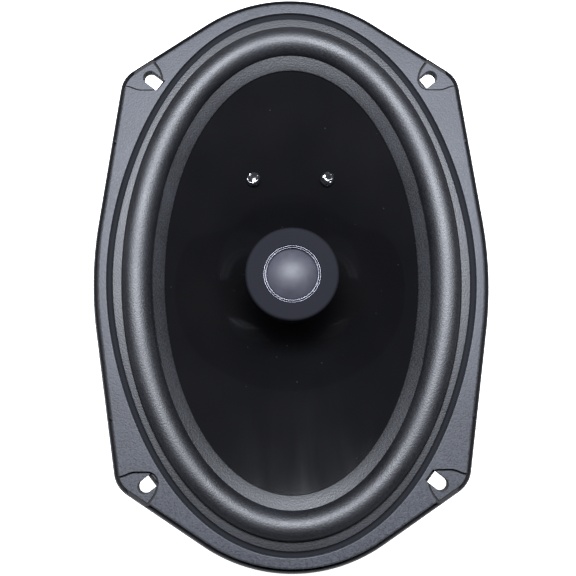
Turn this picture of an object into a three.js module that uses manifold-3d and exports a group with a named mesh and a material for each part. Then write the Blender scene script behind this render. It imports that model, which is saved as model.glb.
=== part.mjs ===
// Oval 6 x 9 inch two-way coaxial car speaker, face up, standing on its magnet.
// Millimetres. +Z points out of the front, +Y along the long side, +X along the short side.
// The origin is the centre of the rear face of the yoke.

import * as THREE from 'three';
import { mergeVertices } from 'three/addons/utils/BufferGeometryUtils.js';
import Module from 'manifold-3d';

const wasm = await Module();
wasm.setup();

// ---------- driving dimensions ----------

// heights along Z
const FLANGE_FRONT = 85.5;
const FLANGE_REAR = 80;
const LEDGE_Z = FLANGE_FRONT - 2.2; // seat of the surround's outer lip
const RIM_BOTTOM = 72;
const FOOT_Z = [29, 32]; // bottom ring of the basket
const SPIDER_Z = 41; // top of the spider's landing
const NECK_Z = 46; // where the cone leaves the voice coil
const CONE_EDGE_Z = 82; // top of the cone at its edge
const TWEETER_FACE = 90.5;

// outline of the flange: two end arcs, two side arcs, four straight-sided ears
const HALF_WIDTH = 80.8;
const HALF_LENGTH = 117.5;
const SIDE_ARC = { radius: 156, turn: THREE.MathUtils.degToRad(8.2) };
const END_ARC = { radius: 64.3, turn: THREE.MathUtils.degToRad(33.6) };
const EAR_RADIUS = 12;
const FLANGE_DRAFT = 2.8; // how far the front edge stands in from the rear edge
const PLATE = 2.5; // moulded wall of the flange
const EDGE = 0.6; // rounding of the moulded edges

// ovals, as half width, half length and flattening at 45 degrees
const FLANGE_INNER = { a: 74.3, b: 110.3, flat: 1.2 };
const LIP_OUTER = { a: 72.3, b: 108.3, flat: 1.2 };
const ROLL_OUTER = { a: 68.5, b: 104.3, flat: 0 };
const LEDGE_INNER = { a: 66.8, b: 102.6, flat: 0 };
const RIM_OUTER = { a: 70, b: 106.4, flat: 0 };
const ROLL_INNER = { a: 56.5, b: 92.7, flat: 0 };
const CONE_VISIBLE = { a: 51.8, b: 87.2, flat: 0 };
const ROLL_HEIGHT = 5.2;
const RUBBER = 0.9;
const LIP = 1.3; // thickness of the surround's two lips

// screw slots, the two on one diagonal a little longer, each with a lower step at its inner end
const SLOT = { x: 56.9, y: 82, width: 5.3, shortInner: 1.7, longInner: 3, outer: 4.3 };
const SLOT_ANGLE = THREE.MathUtils.degToRad(38);
const STEP = { length: 1.7, depth: 3.4 };
const POCKET = { x: SLOT.x + 0.3, y: SLOT.y - 0.4, radius: 4.6, depth: 1.2, reach: 30 };
const BOSS_RADIUS = 8.5;

// motor
const YOKE = { radius: 41, plate: 6, pole: 12.1, bore: 4.8, top: 30 };
const MAGNET = { inner: 25, outer: 45, top: 23 };
const TOP_PLATE = { inner: 14.3, outer: 42, top: 29 };
const WIRE_GROOVE = { width: 4, depth: 2.2 };
const FORMER = { inner: 12.55, outer: 12.85, bottom: 19, top: 50 };
const COIL = { inner: 12.9, outer: 13.6, bottom: 20, top: 32 };
const SCREW = { ring: 33, shank: 1.95, head: 3.9, headHeight: 2.2, bottom: 25 };
const CLEARANCE = 0.1;

// basket
const FOOT = { inner: 17, outer: 46, wall: 2.5, ledge: 38.5 };
const SPOKE_ANGLES = [35, 145, 215, 325].map(THREE.MathUtils.degToRad);
const SPOKE_WIDTH = 13;
const WIDE_SPOKE_WIDTH = 30;
const SHELF = { width: 44, from: 48, to: 67, bottom: 46, top: 48.5 };

// cone and suspension
const CONE_THICKNESS = 0.8;
const CONE_CURVE = 0.86; // below 1 the cone's wall is hollow like a bowl
const SPIDER = { inner: 12.9, outer: 45, thickness: 0.6, rolls: 4, height: 1.5 };
const LEAD_JOINT = { x: 16, y: 44.6 };
const LEAD_RADIUS = 0.6;

// terminals
const BLOCK = { x: -8, y: 56, width: 24, depth: 12, bottom: 37 };
const TAB = { thickness: 0.8, outer: 75, height: 42, y: 58, top: 51.5, spread: 5.5 };
const TAB_WIDTHS = { positive: 6.3, negative: 4.8 };
const CAPACITOR = { x: 13, radius: 5, from: 50, to: 67 };
const WIRE_RADIUS = 0.5;

// tweeter
const POST = { outer: 4.7, inner: 2.6, bottom: 10, top: 78, collar: 9, collarHeight: 2.5 };
const TWEETER = { radius: 18.8, rear: 76, face: TWEETER_FACE, mouth: 11.45, wall: 1.6 };
const TWEETER_YOKE = { outer: 14.2, inner: 11, rear: 80, floor: 2.4, top: 87.2 };
const TWEETER_MAGNET = { radius: 8.8, top: 85.4 };
const TWEETER_PLATE_RADIUS = 9.2;
const DOME = { radius: 10.1, edge: 88.2, height: 2.9, thickness: 0.25 };

// fineness
const ARC_STEPS = { side: 2, line: 3, corner: 4, end: 5 };
const ROUND = 32;
const TWEETER_ROUND = 24;
const SMALL_ROUND = 16;
const SCREW_ROUND = 12;

// ---------- solids ----------

/** A closed geometry as a solid for cutting and joining. */
function solid(geometry) {
  const bare = geometry.clone();
  bare.deleteAttribute('normal');
  bare.deleteAttribute('uv');
  const merged = mergeVertices(bare, 1e-3);
  return new wasm.Manifold(new wasm.Mesh({
    numProp: 3,
    vertProperties: new Float32Array(merged.attributes.position.array),
    triVerts: new Uint32Array(merged.index.array),
  }));
}

function geometryOf(manifold) {
  const mesh = manifold.getMesh();
  const geometry = new THREE.BufferGeometry();
  geometry.setAttribute('position', new THREE.BufferAttribute(mesh.vertProperties, 3));
  geometry.setIndex(new THREE.BufferAttribute(mesh.triVerts, 1));
  return geometry;
}

function join(...geometries) {
  return geometryOf(geometries.map(solid).reduce((whole, part) => whole.add(part)));
}

function cut(geometry, ...tools) {
  return geometryOf(tools.map(solid).reduce((rest, tool) => rest.subtract(tool), solid(geometry)));
}

function common(geometry, other) {
  return geometryOf(solid(geometry).intersect(solid(other)));
}

/** Turned part about Z from a closed list of [radius, z]. */
function turned(profile, segments = ROUND) {
  const points = [...profile, profile[0]].map(([r, z]) => new THREE.Vector2(r, z));
  return new THREE.LatheGeometry(points, segments).rotateX(Math.PI / 2);
}

/** Turned part whose profile starts and ends on the axis. */
function turnedSolid(profile, segments = ROUND) {
  const points = profile.map(([r, z]) => new THREE.Vector2(r, z));
  return new THREE.LatheGeometry(points, segments).rotateX(Math.PI / 2);
}

function ringOf(inner, outer, bottom, top, segments = ROUND) {
  return turned([[inner, bottom], [outer, bottom], [outer, top], [inner, top]], segments);
}

function cylinder(radius, bottom, top, x = 0, y = 0, segments = SMALL_ROUND) {
  const body = new THREE.CylinderGeometry(radius, radius, top - bottom, segments);
  return body.rotateX(Math.PI / 2).translate(x, y, (bottom + top) / 2);
}

function block(x, y, z) {
  const size = [x, y, z].map(([low, high]) => high - low);
  const centre = [x, y, z].map(([low, high]) => (low + high) / 2);
  return new THREE.BoxGeometry(...size).translate(...centre);
}

/** An outline in X and Y, extruded from bottom to top. */
function prism(shape, bottom, top) {
  const options = { depth: top - bottom, bevelEnabled: false, curveSegments: 8 };
  return new THREE.ExtrudeGeometry(shape, options).translate(0, 0, bottom);
}

/** An outline in radius and Z, extruded sideways to a width and turned to an angle about Z. */
function radialPlate(points, width, angle) {
  const shape = new THREE.Shape(points.map(([r, z]) => new THREE.Vector2(r, z)));
  const plate = new THREE.ExtrudeGeometry(shape, { depth: width, bevelEnabled: false });
  return plate.translate(0, 0, -width / 2).rotateX(Math.PI / 2).rotateZ(angle);
}

/** A round wire along hand-chosen points. */
function wire(points, radius, steps) {
  const places = points.map((p) => new THREE.Vector3(...p));
  const path = new THREE.CatmullRomCurve3(places, false, 'centripetal');
  const section = new THREE.Shape().absarc(0, 0, radius, 0, Math.PI * 2);
  return new THREE.ExtrudeGeometry(section, { steps, curveSegments: 4, extrudePath: path });
}

/** A ring-shaped body from closed sections with equal numbers of points, the last joined to the first. */
function ringBody(sections) {
  const around = sections[0].length;
  const position = sections.flat(2);
  const index = [];
  sections.forEach((_, s) => {
    const next = (s + 1) % sections.length;
    for (let i = 0; i < around; i += 1) {
      const j = (i + 1) % around;
      const [p, q, r, t] = [s * around + i, s * around + j, next * around + j, next * around + i];
      index.push(p, q, r, p, r, t);
    }
  });
  const geometry = new THREE.BufferGeometry();
  geometry.setAttribute('position', new THREE.Float32BufferAttribute(position, 3));
  geometry.setIndex(index);
  return geometry;
}

// ---------- curves ----------

const mirrorX = ([x, y]) => [-x, y];
const mirrorY = ([x, y]) => [x, -y];

/** Points in equal steps from angle 0 to turn on an arc that starts along a side or an end. */
function arcPoints(steps, turn, point) {
  return Array.from({ length: steps + 1 }, (_, k) => point((k / steps) * turn));
}

/** The first quarter of the flange outline, from the middle of the side to the middle of the end. */
function quarterOutline(inset) {
  const side = arcPoints(ARC_STEPS.side, SIDE_ARC.turn, (angle) => [
    HALF_WIDTH - inset - (SIDE_ARC.radius - inset) * (1 - Math.cos(angle)),
    (SIDE_ARC.radius - inset) * Math.sin(angle),
  ]);
  const end = arcPoints(ARC_STEPS.end, END_ARC.turn, (angle) => [
    (END_ARC.radius - inset) * Math.sin(angle),
    HALF_LENGTH - inset - (END_ARC.radius - inset) * (1 - Math.cos(angle)),
  ]).reverse();
  const up = new THREE.Vector2(-Math.sin(SIDE_ARC.turn), Math.cos(SIDE_ARC.turn));
  const out = new THREE.Vector2(Math.cos(END_ARC.turn), -Math.sin(END_ARC.turn));
  const from = new THREE.Vector2(...side.at(-1));
  const to = new THREE.Vector2(...end[0]);
  const gap = to.clone().sub(from);
  const reach = gap.cross(out) / up.cross(out);
  const corner = from.clone().addScaledVector(up, reach);
  const turn = Math.PI / 2 - END_ARC.turn - SIDE_ARC.turn;
  const radius = EAR_RADIUS - inset;
  const tangent = radius * Math.tan(turn / 2);
  const start = corner.clone().addScaledVector(up, -tangent);
  const stop = corner.clone().addScaledVector(out, -tangent);
  const centre = start.clone().add(new THREE.Vector2(-up.y, up.x).multiplyScalar(radius));
  const ear = arcPoints(ARC_STEPS.corner, turn, (angle) => [
    centre.x + radius * Math.cos(SIDE_ARC.turn + angle),
    centre.y + radius * Math.sin(SIDE_ARC.turn + angle),
  ]);
  const straight = (a, b) => Array.from({ length: ARC_STEPS.line - 1 }, (_, k) => {
    const share = (k + 1) / ARC_STEPS.line;
    return [a.x + (b.x - a.x) * share, a.y + (b.y - a.y) * share];
  });
  return [...side, ...straight(from, start), ...ear, ...straight(stop, to), ...end];
}

/** The whole flange outline, moved inwards by an inset, counter-clockwise. */
function outline(inset = 0) {
  const quarter = quarterOutline(inset);
  const left = quarter.slice(0, -1).map(mirrorX).reverse();
  const upper = [...quarter, ...left];
  const lower = upper.slice(1, -1).map(mirrorY).reverse();
  return [...upper, ...lower];
}

const STATIONS = outline().map(([x, y]) => Math.atan2(y, x));

function ovalRadius({ a, b, flat }, angle) {
  const ellipse = (a * b) / Math.hypot(b * Math.cos(angle), a * Math.sin(angle));
  return ellipse - flat * (1 - Math.cos(4 * angle)) / 2;
}

function outlineAt(inset, z) {
  return outline(inset).map(([x, y]) => [x, y, z]);
}

function ovalAt(oval, z, grow = 0) {
  return STATIONS.map((angle) => {
    const r = ovalRadius(oval, angle) + grow;
    return [r * Math.cos(angle), r * Math.sin(angle), z];
  });
}

/** Half axes of the cone at a share of the way from the neck to its edge. */
function coneOval(share, neck) {
  const grow = (edge) => neck + (edge - neck) * share;
  return { a: grow(ROLL_INNER.a), b: grow(ROLL_INNER.b), flat: 0 };
}

const coneRise = (share) => NECK_Z + (CONE_EDGE_Z - NECK_Z) * share ** CONE_CURVE;

/** Height of the cone's front surface above a point, and its upward normal. */
function coneSurface(x, y) {
  const angle = Math.atan2(y, x);
  const heightAt = (r) => {
    let [low, high] = [0, 1];
    for (let k = 0; k < 30; k += 1) {
      const middle = (low + high) / 2;
      if (ovalRadius(coneOval(middle, FORMER.outer), angle) < r) low = middle;
      else high = middle;
    }
    return coneRise(low);
  };
  const r = Math.hypot(x, y);
  const step = 0.5;
  const slope = (heightAt(r + step) - heightAt(r - step)) / (2 * step);
  const normal = new THREE.Vector3(-slope * Math.cos(angle), -slope * Math.sin(angle), 1);
  return { height: heightAt(r), normal: normal.normalize() };
}

// ---------- basket ----------

function flangeRing() {
  const wall = FLANGE_DRAFT + PLATE;
  const underside = FLANGE_FRONT - PLATE;
  return ringBody([
    outlineAt(0, FLANGE_REAR),
    outlineAt(FLANGE_DRAFT, FLANGE_FRONT - EDGE),
    outlineAt(FLANGE_DRAFT + EDGE, FLANGE_FRONT),
    ovalAt(FLANGE_INNER, FLANGE_FRONT, EDGE),
    ovalAt(FLANGE_INNER, FLANGE_FRONT - EDGE),
    ovalAt(FLANGE_INNER, LEDGE_Z),
    ovalAt(LEDGE_INNER, LEDGE_Z),
    ovalAt(LEDGE_INNER, RIM_BOTTOM),
    ovalAt(RIM_OUTER, RIM_BOTTOM),
    ovalAt(RIM_OUTER, underside - PLATE),
    ovalAt(FLANGE_INNER, underside - PLATE + 1, 1),
    outlineAt(wall, underside),
    outlineAt(PLATE, FLANGE_REAR),
  ]);
}

const flatShape = (points) => new THREE.Shape(points.map(([x, y]) => new THREE.Vector2(x, y)));

/** Fillings under the four ears, through which the screws pass. */
function earBoss(sx, sy) {
  const top = FLANGE_FRONT - PLATE + 0.5;
  const round = cylinder(BOSS_RADIUS, FLANGE_REAR, top, sx * SLOT.x, sy * SLOT.y, ROUND / 2);
  const limit = prism(flatShape(outline(1)), FLANGE_REAR, top);
  const recess = prism(flatShape(ovalAt(FLANGE_INNER, 0, 0.3)), FLANGE_REAR - 1, top + 1);
  return cut(common(round, limit), recess);
}

/** The sunk pad of one ear: round about the slot, flaring out to the two edges. */
function earPocket(sx, sy) {
  const { x, y, radius, depth, reach } = POCKET;
  const shape = new THREE.Shape();
  shape.moveTo(x + reach, y - 3);
  shape.lineTo(x + 11, y - 2.9);
  shape.bezierCurveTo(x + 8.5, y - 3, x + 7, y - radius - 0.3, x + 3.5, y - radius);
  shape.absarc(x, y, radius, -Math.PI / 2, -Math.PI * 1.08, true);
  shape.bezierCurveTo(x - 4, y + 4, x - 2.6, y + 6, x - 0.3, y + 8.6);
  shape.lineTo(x + 1, y + reach);
  shape.lineTo(x + reach, y + reach);
  return mirrored(prism(shape, FLANGE_FRONT - depth, FLANGE_FRONT + 1), sx, sy);
}

/** The same body in another quarter of the speaker. */
function mirrored(geometry, sx, sy) {
  const copy = join(geometry).scale(sx, sy, 1);
  if (sx * sy < 0) {
    const { array } = copy.index;
    for (let k = 0; k < array.length; k += 3) {
      [array[k], array[k + 1]] = [array[k + 1], array[k]];
    }
  }
  return copy;
}

/** The screw slot, square at its inner end and round at its outer one. */
function slotTool(sx, sy) {
  const shape = new THREE.Shape();
  const half = SLOT.width / 2;
  const inner = sx === sy ? SLOT.shortInner : SLOT.longInner;
  shape.moveTo(-inner, -half);
  shape.lineTo(SLOT.outer - half, -half);
  shape.absarc(SLOT.outer - half, 0, half, -Math.PI / 2, Math.PI / 2, false);
  shape.lineTo(-inner, half);
  const hole = prism(shape, FLANGE_REAR - 1, FLANGE_FRONT + 1);
  const step = block([-inner - STEP.length, -inner + 0.1], [-half, half], [FLANGE_FRONT - STEP.depth, FLANGE_FRONT + 1]);
  const tool = join(hole, step).rotateZ(SLOT_ANGLE).translate(SLOT.x, SLOT.y, 0);
  return mirrored(tool, sx, sy);
}

const QUARTERS = [[1, 1], [-1, 1], [-1, -1], [1, -1]];

/** One arm from the foot up to the rim, with a stiffening rib behind it. */
function spoke(angle, width) {
  const rim = ovalRadius(RIM_OUTER, angle) - 0.3;
  const arm = [[45, 30.5], [48, 31], [rim, RIM_BOTTOM + 0.5], [rim, 76], [rim - 2.4, 76], [45, 35]];
  const rib = [[45, 29.5], [50, 29.5], [rim, 67], [rim, 76], [rim - 2, 76], [45, 34]];
  return join(radialPlate(arm, width, angle), radialPlate(rib, 2.4, angle));
}

/** The wide arm on the +Y side, with the level shelf that carries the terminals. */
function terminalArm() {
  const angle = Math.PI / 2;
  const rim = ovalRadius(RIM_OUTER, angle) - 0.3;
  const arm = [[SHELF.to - 2, SHELF.bottom], [SHELF.to + 1, SHELF.bottom], [rim, RIM_BOTTOM + 0.5],
    [rim, 76], [rim - 2.4, 76], [SHELF.to - 2, SHELF.top]];
  const leg = [[45, 30], [SHELF.from, 30], [SHELF.from, SHELF.top], [45, SHELF.top]];
  const shelf = block([-SHELF.width / 2, SHELF.width / 2], [SHELF.from - 4, SHELF.to],
    [SHELF.bottom, SHELF.top]);
  return join(radialPlate(arm, WIDE_SPOKE_WIDTH, angle), radialPlate(leg, WIDE_SPOKE_WIDTH, angle), shelf);
}

/** Ring at the bottom of the basket, with the wall and landing for the spider. */
function foot() {
  const { inner, outer, wall, ledge } = FOOT;
  return turned([
    [inner, FOOT_Z[0]], [outer, FOOT_Z[0]], [outer, SPIDER_Z], [ledge, SPIDER_Z],
    [ledge, SPIDER_Z - wall], [outer - wall, SPIDER_Z - wall], [outer - wall, FOOT_Z[1]],
    [inner, FOOT_Z[1]],
  ]);
}

const SCREW_SPOTS = [45, 135, 225, 315].map((degrees) => {
  const angle = THREE.MathUtils.degToRad(degrees);
  return [SCREW.ring * Math.cos(angle), SCREW.ring * Math.sin(angle)];
});

const TAB_SPOTS = { positive: BLOCK.x + TAB.spread, negative: BLOCK.x - TAB.spread };

function tabOpening(side) {
  const half = TAB_WIDTHS[side] / 2 + CLEARANCE;
  const x = [TAB_SPOTS[side] - half, TAB_SPOTS[side] + half];
  const [front, bottom] = [TAB.y - CLEARANCE, TAB.height - CLEARANCE];
  const upright = block(x, [front, TAB.y + TAB.thickness + CLEARANCE], [bottom, SHELF.top + 10]);
  const level = block(x, [front, TAB.outer], [bottom, TAB.height + TAB.thickness + CLEARANCE]);
  return join(upright, level);
}

const RIVET_SPOTS = [BLOCK.x - 10.2, BLOCK.x + 10.2];
const RIVET = { shank: 1.2, head: 2.2 };

function rivetOpening(x) {
  return cylinder(RIVET.shank + CLEARANCE, BLOCK.bottom - 1, SHELF.top + 1, x, BLOCK.y, SCREW_ROUND);
}

function basket() {
  const bosses = QUARTERS.map(([sx, sy]) => earBoss(sx, sy));
  const spokes = SPOKE_ANGLES.map((angle) => spoke(angle, SPOKE_WIDTH));
  const wide = spoke(-Math.PI / 2, WIDE_SPOKE_WIDTH);
  const body = join(flangeRing(), ...bosses, foot(), ...spokes, wide, terminalArm());
  const screwHoles = SCREW_SPOTS.map(([x, y]) => (
    cylinder(SCREW.shank + 0.3, FOOT_Z[0] - 1, FOOT_Z[1] + 1, x, y, SCREW_ROUND)));
  return cut(
    body,
    ...QUARTERS.map(([sx, sy]) => earPocket(sx, sy)),
    ...QUARTERS.map(([sx, sy]) => slotTool(sx, sy)),
    ...screwHoles,
    ...Object.keys(TAB_SPOTS).map(tabOpening),
    ...RIVET_SPOTS.map(rivetOpening),
  );
}

// ---------- motor ----------

function yoke() {
  const { radius, plate, pole, bore, top } = YOKE;
  const body = turned([[bore, 0], [radius - 1, 0], [radius, 1], [radius, plate], [pole, plate],
    [pole, top - 0.5], [pole - 0.5, top], [bore, top]]);
  const half = WIRE_GROOVE.width / 2;
  return cut(body, block([-half, half], [0, radius + 1], [-1, WIRE_GROOVE.depth]));
}

function magnet() {
  const { inner, outer, top } = MAGNET;
  return turned([[inner, YOKE.plate], [outer - 1, YOKE.plate], [outer, YOKE.plate + 1],
    [outer, top - 1], [outer - 1, top], [inner, top]]);
}

function topPlate() {
  const plate = ringOf(TOP_PLATE.inner, TOP_PLATE.outer, MAGNET.top, TOP_PLATE.top);
  return cut(plate, ...SCREW_SPOTS.map(([x, y]) => (
    cylinder(SCREW.shank + CLEARANCE, SCREW.bottom - 0.5, TOP_PLATE.top + 1, x, y, SCREW_ROUND))));
}

/** A pan-head screw standing in the foot and the top plate. */
function basketScrew([x, y]) {
  const head = FOOT_Z[1];
  return turnedSolid([[0, SCREW.bottom], [SCREW.shank, SCREW.bottom], [SCREW.shank, head],
    [SCREW.head, head], [SCREW.head, head + 0.9], [SCREW.head * 0.7, head + SCREW.headHeight],
    [0, head + SCREW.headHeight]], SCREW_ROUND).translate(x, y, 0);
}

// ---------- cone, coil and suspension ----------

function eyeletAxis(side) {
  const x = side * LEAD_JOINT.x;
  const { height, normal } = coneSurface(x, LEAD_JOINT.y);
  return { place: new THREE.Vector3(x, LEAD_JOINT.y, height), normal };
}

function alongNormal(geometry, { place, normal }) {
  const turn = new THREE.Quaternion().setFromUnitVectors(new THREE.Vector3(0, 0, 1), normal);
  return geometry.applyQuaternion(turn).translate(place.x, place.y, place.z);
}

function cone() {
  const shares = [0, 0.15, 0.4, 0.7, 1];
  const neck = FORMER.outer + 2 * CLEARANCE;
  const front = shares.map((s) => ovalAt(coneOval(s, neck), coneRise(s)));
  const rear = shares.map((s) => ovalAt(coneOval(s, neck), coneRise(s) - CONE_THICKNESS * 1.25));
  const body = ringBody([...rear, ...front.reverse()]);
  const holes = [-1, 1].map((side) => alongNormal(
    new THREE.CylinderGeometry(1.6, 1.6, 6, 12).rotateX(Math.PI / 2), eyeletAxis(side)));
  return cut(body, ...holes);
}

/** Eyelet through the cone with the blob of cement that covers the end of its lead. */
function leadJoint(side) {
  const joint = turnedSolid([[0, -3], [1.2, -3], [1.2, 0.4], [2.6, 0.4], [3, 0.8], [2.6, 1.7],
    [1.6, 2.3], [0, 2.5]], SCREW_ROUND);
  return alongNormal(joint, eyeletAxis(side));
}

function voiceCoilFormer() {
  return ringOf(FORMER.inner, FORMER.outer, FORMER.bottom, FORMER.top);
}

function voiceCoil() {
  return ringOf(COIL.inner, COIL.outer, COIL.bottom, COIL.top);
}

/** The inner lip's free edge, lying on the cone at a lift above its face. */
function lipOnCone(lift) {
  return STATIONS.map((angle) => {
    const r = ovalRadius(CONE_VISIBLE, angle);
    const [x, y] = [r * Math.cos(angle), r * Math.sin(angle)];
    return [x, y, coneSurface(x, y).height + 0.3 + lift];
  });
}

/** Rubber half roll between the cone's edge and the ledge of the basket. */
function surround() {
  const innerZ = CONE_EDGE_Z + 0.05;
  const rollSteps = 5;
  const between = (share) => {
    const mix = (key) => ROLL_INNER[key] + (ROLL_OUTER[key] - ROLL_INNER[key]) * share;
    return { a: mix('a'), b: mix('b'), flat: 0 };
  };
  const roll = (drop) => Array.from({ length: rollSteps + 1 }, (_, k) => {
    const angle = (Math.PI * k) / rollSteps;
    const share = (1 - Math.cos(angle)) / 2;
    const base = innerZ + LIP + (LEDGE_Z - innerZ) * share;
    const inwards = drop * (share - 0.5) * 0.16;
    const height = base + (ROLL_HEIGHT - drop) * Math.sin(angle);
    return ovalAt(between(share - inwards), drop ? height - LIP : height);
  });
  return ringBody([
    ...roll(RUBBER),
    ovalAt(LIP_OUTER, LEDGE_Z),
    ovalAt(LIP_OUTER, LEDGE_Z + LIP),
    ...roll(0).reverse(),
    lipOnCone(LIP - 0.6),
    lipOnCone(0),
    ovalAt(ROLL_INNER, innerZ),
  ]);
}

/** Corrugated disc that centres the voice coil. */
function spider() {
  const { inner, outer, thickness, rolls, height } = SPIDER;
  const [start, stop] = [inner + 3, FOOT.ledge];
  const steps = rolls * 2;
  const wave = (lift) => Array.from({ length: steps + 1 }, (_, k) => {
    const r = start + ((stop - start) * k) / steps;
    return [r, SPIDER_Z + lift + height * Math.sin((Math.PI / 2) * (2 * k + 1))];
  });
  const below = [[inner, SPIDER_Z], ...wave(0), [outer, SPIDER_Z]];
  const above = [[inner, SPIDER_Z + thickness], ...wave(thickness), [outer, SPIDER_Z + thickness]];
  return turned([...below, ...above.reverse()]);
}

function tinselLead(side) {
  const { place, normal } = eyeletAxis(side);
  const end = place.clone().addScaledVector(normal, -3.4);
  const tab = side > 0 ? TAB_SPOTS.positive : TAB_SPOTS.negative;
  const start = [tab, TAB.y - 1, TAB.top - 1.2];
  return wire([
    start,
    [tab, TAB.y - 3, TAB.top - 0.8],
    [tab + (end.x - tab) * 0.3, TAB.y - 8, TAB.top - 0.2],
    [tab + (end.x - tab) * 0.75, end.y + 3.5, TAB.top - 0.2],
    [end.x, end.y - 0.6, end.z - 1.6],
    [end.x, end.y, end.z],
  ], LEAD_RADIUS, 18);
}

// ---------- terminals ----------

function terminalBlock() {
  const half = BLOCK.width / 2;
  const body = block([BLOCK.x - half, BLOCK.x + half],
    [BLOCK.y - BLOCK.depth / 2, BLOCK.y + BLOCK.depth / 2], [BLOCK.bottom, SHELF.bottom]);
  const wallBetween = block([BLOCK.x - 0.7, BLOCK.x + 0.7],
    [BLOCK.y + BLOCK.depth / 2 - 0.5, TAB.outer - 4], [BLOCK.bottom + 1, SHELF.bottom - 1]);
  return cut(join(body, wallBetween), ...Object.keys(TAB_SPOTS).map(tabOpening),
    ...RIVET_SPOTS.map(rivetOpening));
}

/** Spade terminal: a level blade outside, an upright solder tail inside. */
function terminalTab(side) {
  const { y, outer, thickness, height, top } = TAB;
  const points = [[y, height], [outer - 1.5, height], [outer, height + thickness / 2],
    [outer - 1.5, height + thickness], [y + thickness, height + thickness], [y + thickness, top],
    [y, top]];
  const blade = radialPlate(points, TAB_WIDTHS[side], Math.PI / 2).translate(TAB_SPOTS[side], 0, 0);
  return cut(blade, cylinder(0.9, height - 1, height + 2, TAB_SPOTS[side], outer - 5, SCREW_ROUND));
}

function terminalRivet(x) {
  const { shank, head } = RIVET;
  return turnedSolid([[0, BLOCK.bottom - 0.8], [head - 0.4, BLOCK.bottom - 0.8], [head, BLOCK.bottom],
    [shank, BLOCK.bottom], [shank, SHELF.top], [head, SHELF.top], [head - 0.5, SHELF.top + 0.9],
    [0, SHELF.top + 1.1]], SCREW_ROUND).translate(x, BLOCK.y, 0);
}

const CAPACITOR_Z = SHELF.bottom - CAPACITOR.radius - 0.3;

/** Non-polar capacitor in series with the tweeter, cemented under the shelf. */
function capacitor() {
  const { x, radius, from, to } = CAPACITOR;
  const profile = [[0, from], [radius - 0.8, from], [radius, from + 0.8], [radius, to - 2.6],
    [radius - 0.5, to - 2.1], [radius, to - 1.6], [radius, to - 0.5], [radius - 0.5, to], [0, to]];
  return new THREE.LatheGeometry(profile.map(([r, y]) => new THREE.Vector2(r, y)), 24)
    .translate(x, 0, CAPACITOR_Z);
}

function capacitorLead() {
  const tab = TAB_SPOTS.positive + TAB_WIDTHS.positive / 2;
  return wire([
    [CAPACITOR.x, CAPACITOR.to + 0.3, CAPACITOR_Z],
    [CAPACITOR.x, CAPACITOR.to + 2.2, CAPACITOR_Z],
    [CAPACITOR.x - 4, CAPACITOR.to + 3.4, CAPACITOR_Z + 0.5],
    [tab + 4, CAPACITOR.to, TAB.height],
    [tab + 1.5, CAPACITOR.to - 1.5, TAB.height + 0.4],
    [tab + 0.3, CAPACITOR.to - 1.5, TAB.height + 0.4],
  ], WIRE_RADIUS, 14);
}

// ---------- tweeter ----------

/** The common stretch of both tweeter wires: down the magnet, along the groove, up the post. */
function wireThroughPost(x) {
  const beside = MAGNET.outer + 1.4;
  const low = WIRE_GROOVE.depth / 2;
  return [[x, beside + 2.5, 30], [x, beside + 1.3, 26], [x, beside, 20], [x, beside, 5],
    [x, beside - 1.2, 1.7], [x, beside - 4, low], [x, 30, low], [x, 15, low], [x, 4, low],
    [x, 1, low + 1.2], [x, 0, low + 5], [x, 0, 30], [x, 0, 55],
    [x, 0, TWEETER_YOKE.rear - 0.6]];
}

function tweeterWirePositive() {
  return wire([
    [CAPACITOR.x, CAPACITOR.from - 0.3, CAPACITOR_Z],
    [CAPACITOR.x, CAPACITOR.from - 0.9, CAPACITOR_Z - 0.8],
    [CAPACITOR.x - 1, CAPACITOR.from - 1, CAPACITOR_Z - 5],
    [CAPACITOR.x - 7, CAPACITOR.from - 1, CAPACITOR_Z - 8],
    ...wireThroughPost(0.9),
  ], WIRE_RADIUS, 38);
}

function tweeterWireNegative() {
  const x = TAB_SPOTS.negative;
  return wire([
    [x, 65.5, TAB.height - 0.3 - WIRE_RADIUS],
    [x, 64, TAB.height - 2.2],
    [x + 1, 63.6, BLOCK.bottom - 0.5],
    [x + 3, 60, BLOCK.bottom - 3],
    [x + 8, 52, BLOCK.bottom - 5],
    ...wireThroughPost(-0.9),
  ], WIRE_RADIUS, 38);
}

/** Hollow post pressed into the pole piece, with a collar on the pole's face. */
function tweeterPost() {
  const { outer, inner, bottom, top, collar, collarHeight } = POST;
  const seat = YOKE.top;
  return turned([[inner, bottom], [outer, bottom], [outer, seat], [collar, seat],
    [collar, seat + collarHeight - 0.6], [collar - 2, seat + collarHeight],
    [outer, seat + collarHeight + 3], [outer, top], [inner, top]], TWEETER_ROUND);
}

/** Rear half of the tweeter's shell, a shallow cup on the post. */
function tweeterBackCap() {
  const { radius, rear, wall } = TWEETER;
  const sleeve = POST.outer + CLEARANCE;
  return turned([[sleeve, rear - 4], [sleeve + 2, rear - 4], [sleeve + 2.6, rear],
    [radius - 5, rear], [radius - 1.2, rear + 2.6], [radius - 0.9, rear + 5],
    [radius - 0.9 - wall, rear + 5],
    [radius - 2.6, rear + 3.2], [radius - 5.6, rear + wall], [sleeve, rear + wall]]);
}

/** Front shell of the tweeter: side wall and the gently dished ring about the dome. */
function tweeterBezel() {
  const { radius, rear, face, mouth, wall } = TWEETER;
  const seam = rear + 5.1;
  return turned([[radius - 0.7, seam], [radius, face - 1.2], [radius - 0.4, face - 0.5],
    [radius - 1, face - 0.2], [mouth + 2.5, face - 0.55], [mouth, face - 0.8],
    [mouth, face - 1.5], [mouth + 1, face - 2.1],
    [radius - wall, face - 2], [radius - 0.7 - wall, seam]]);
}

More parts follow.
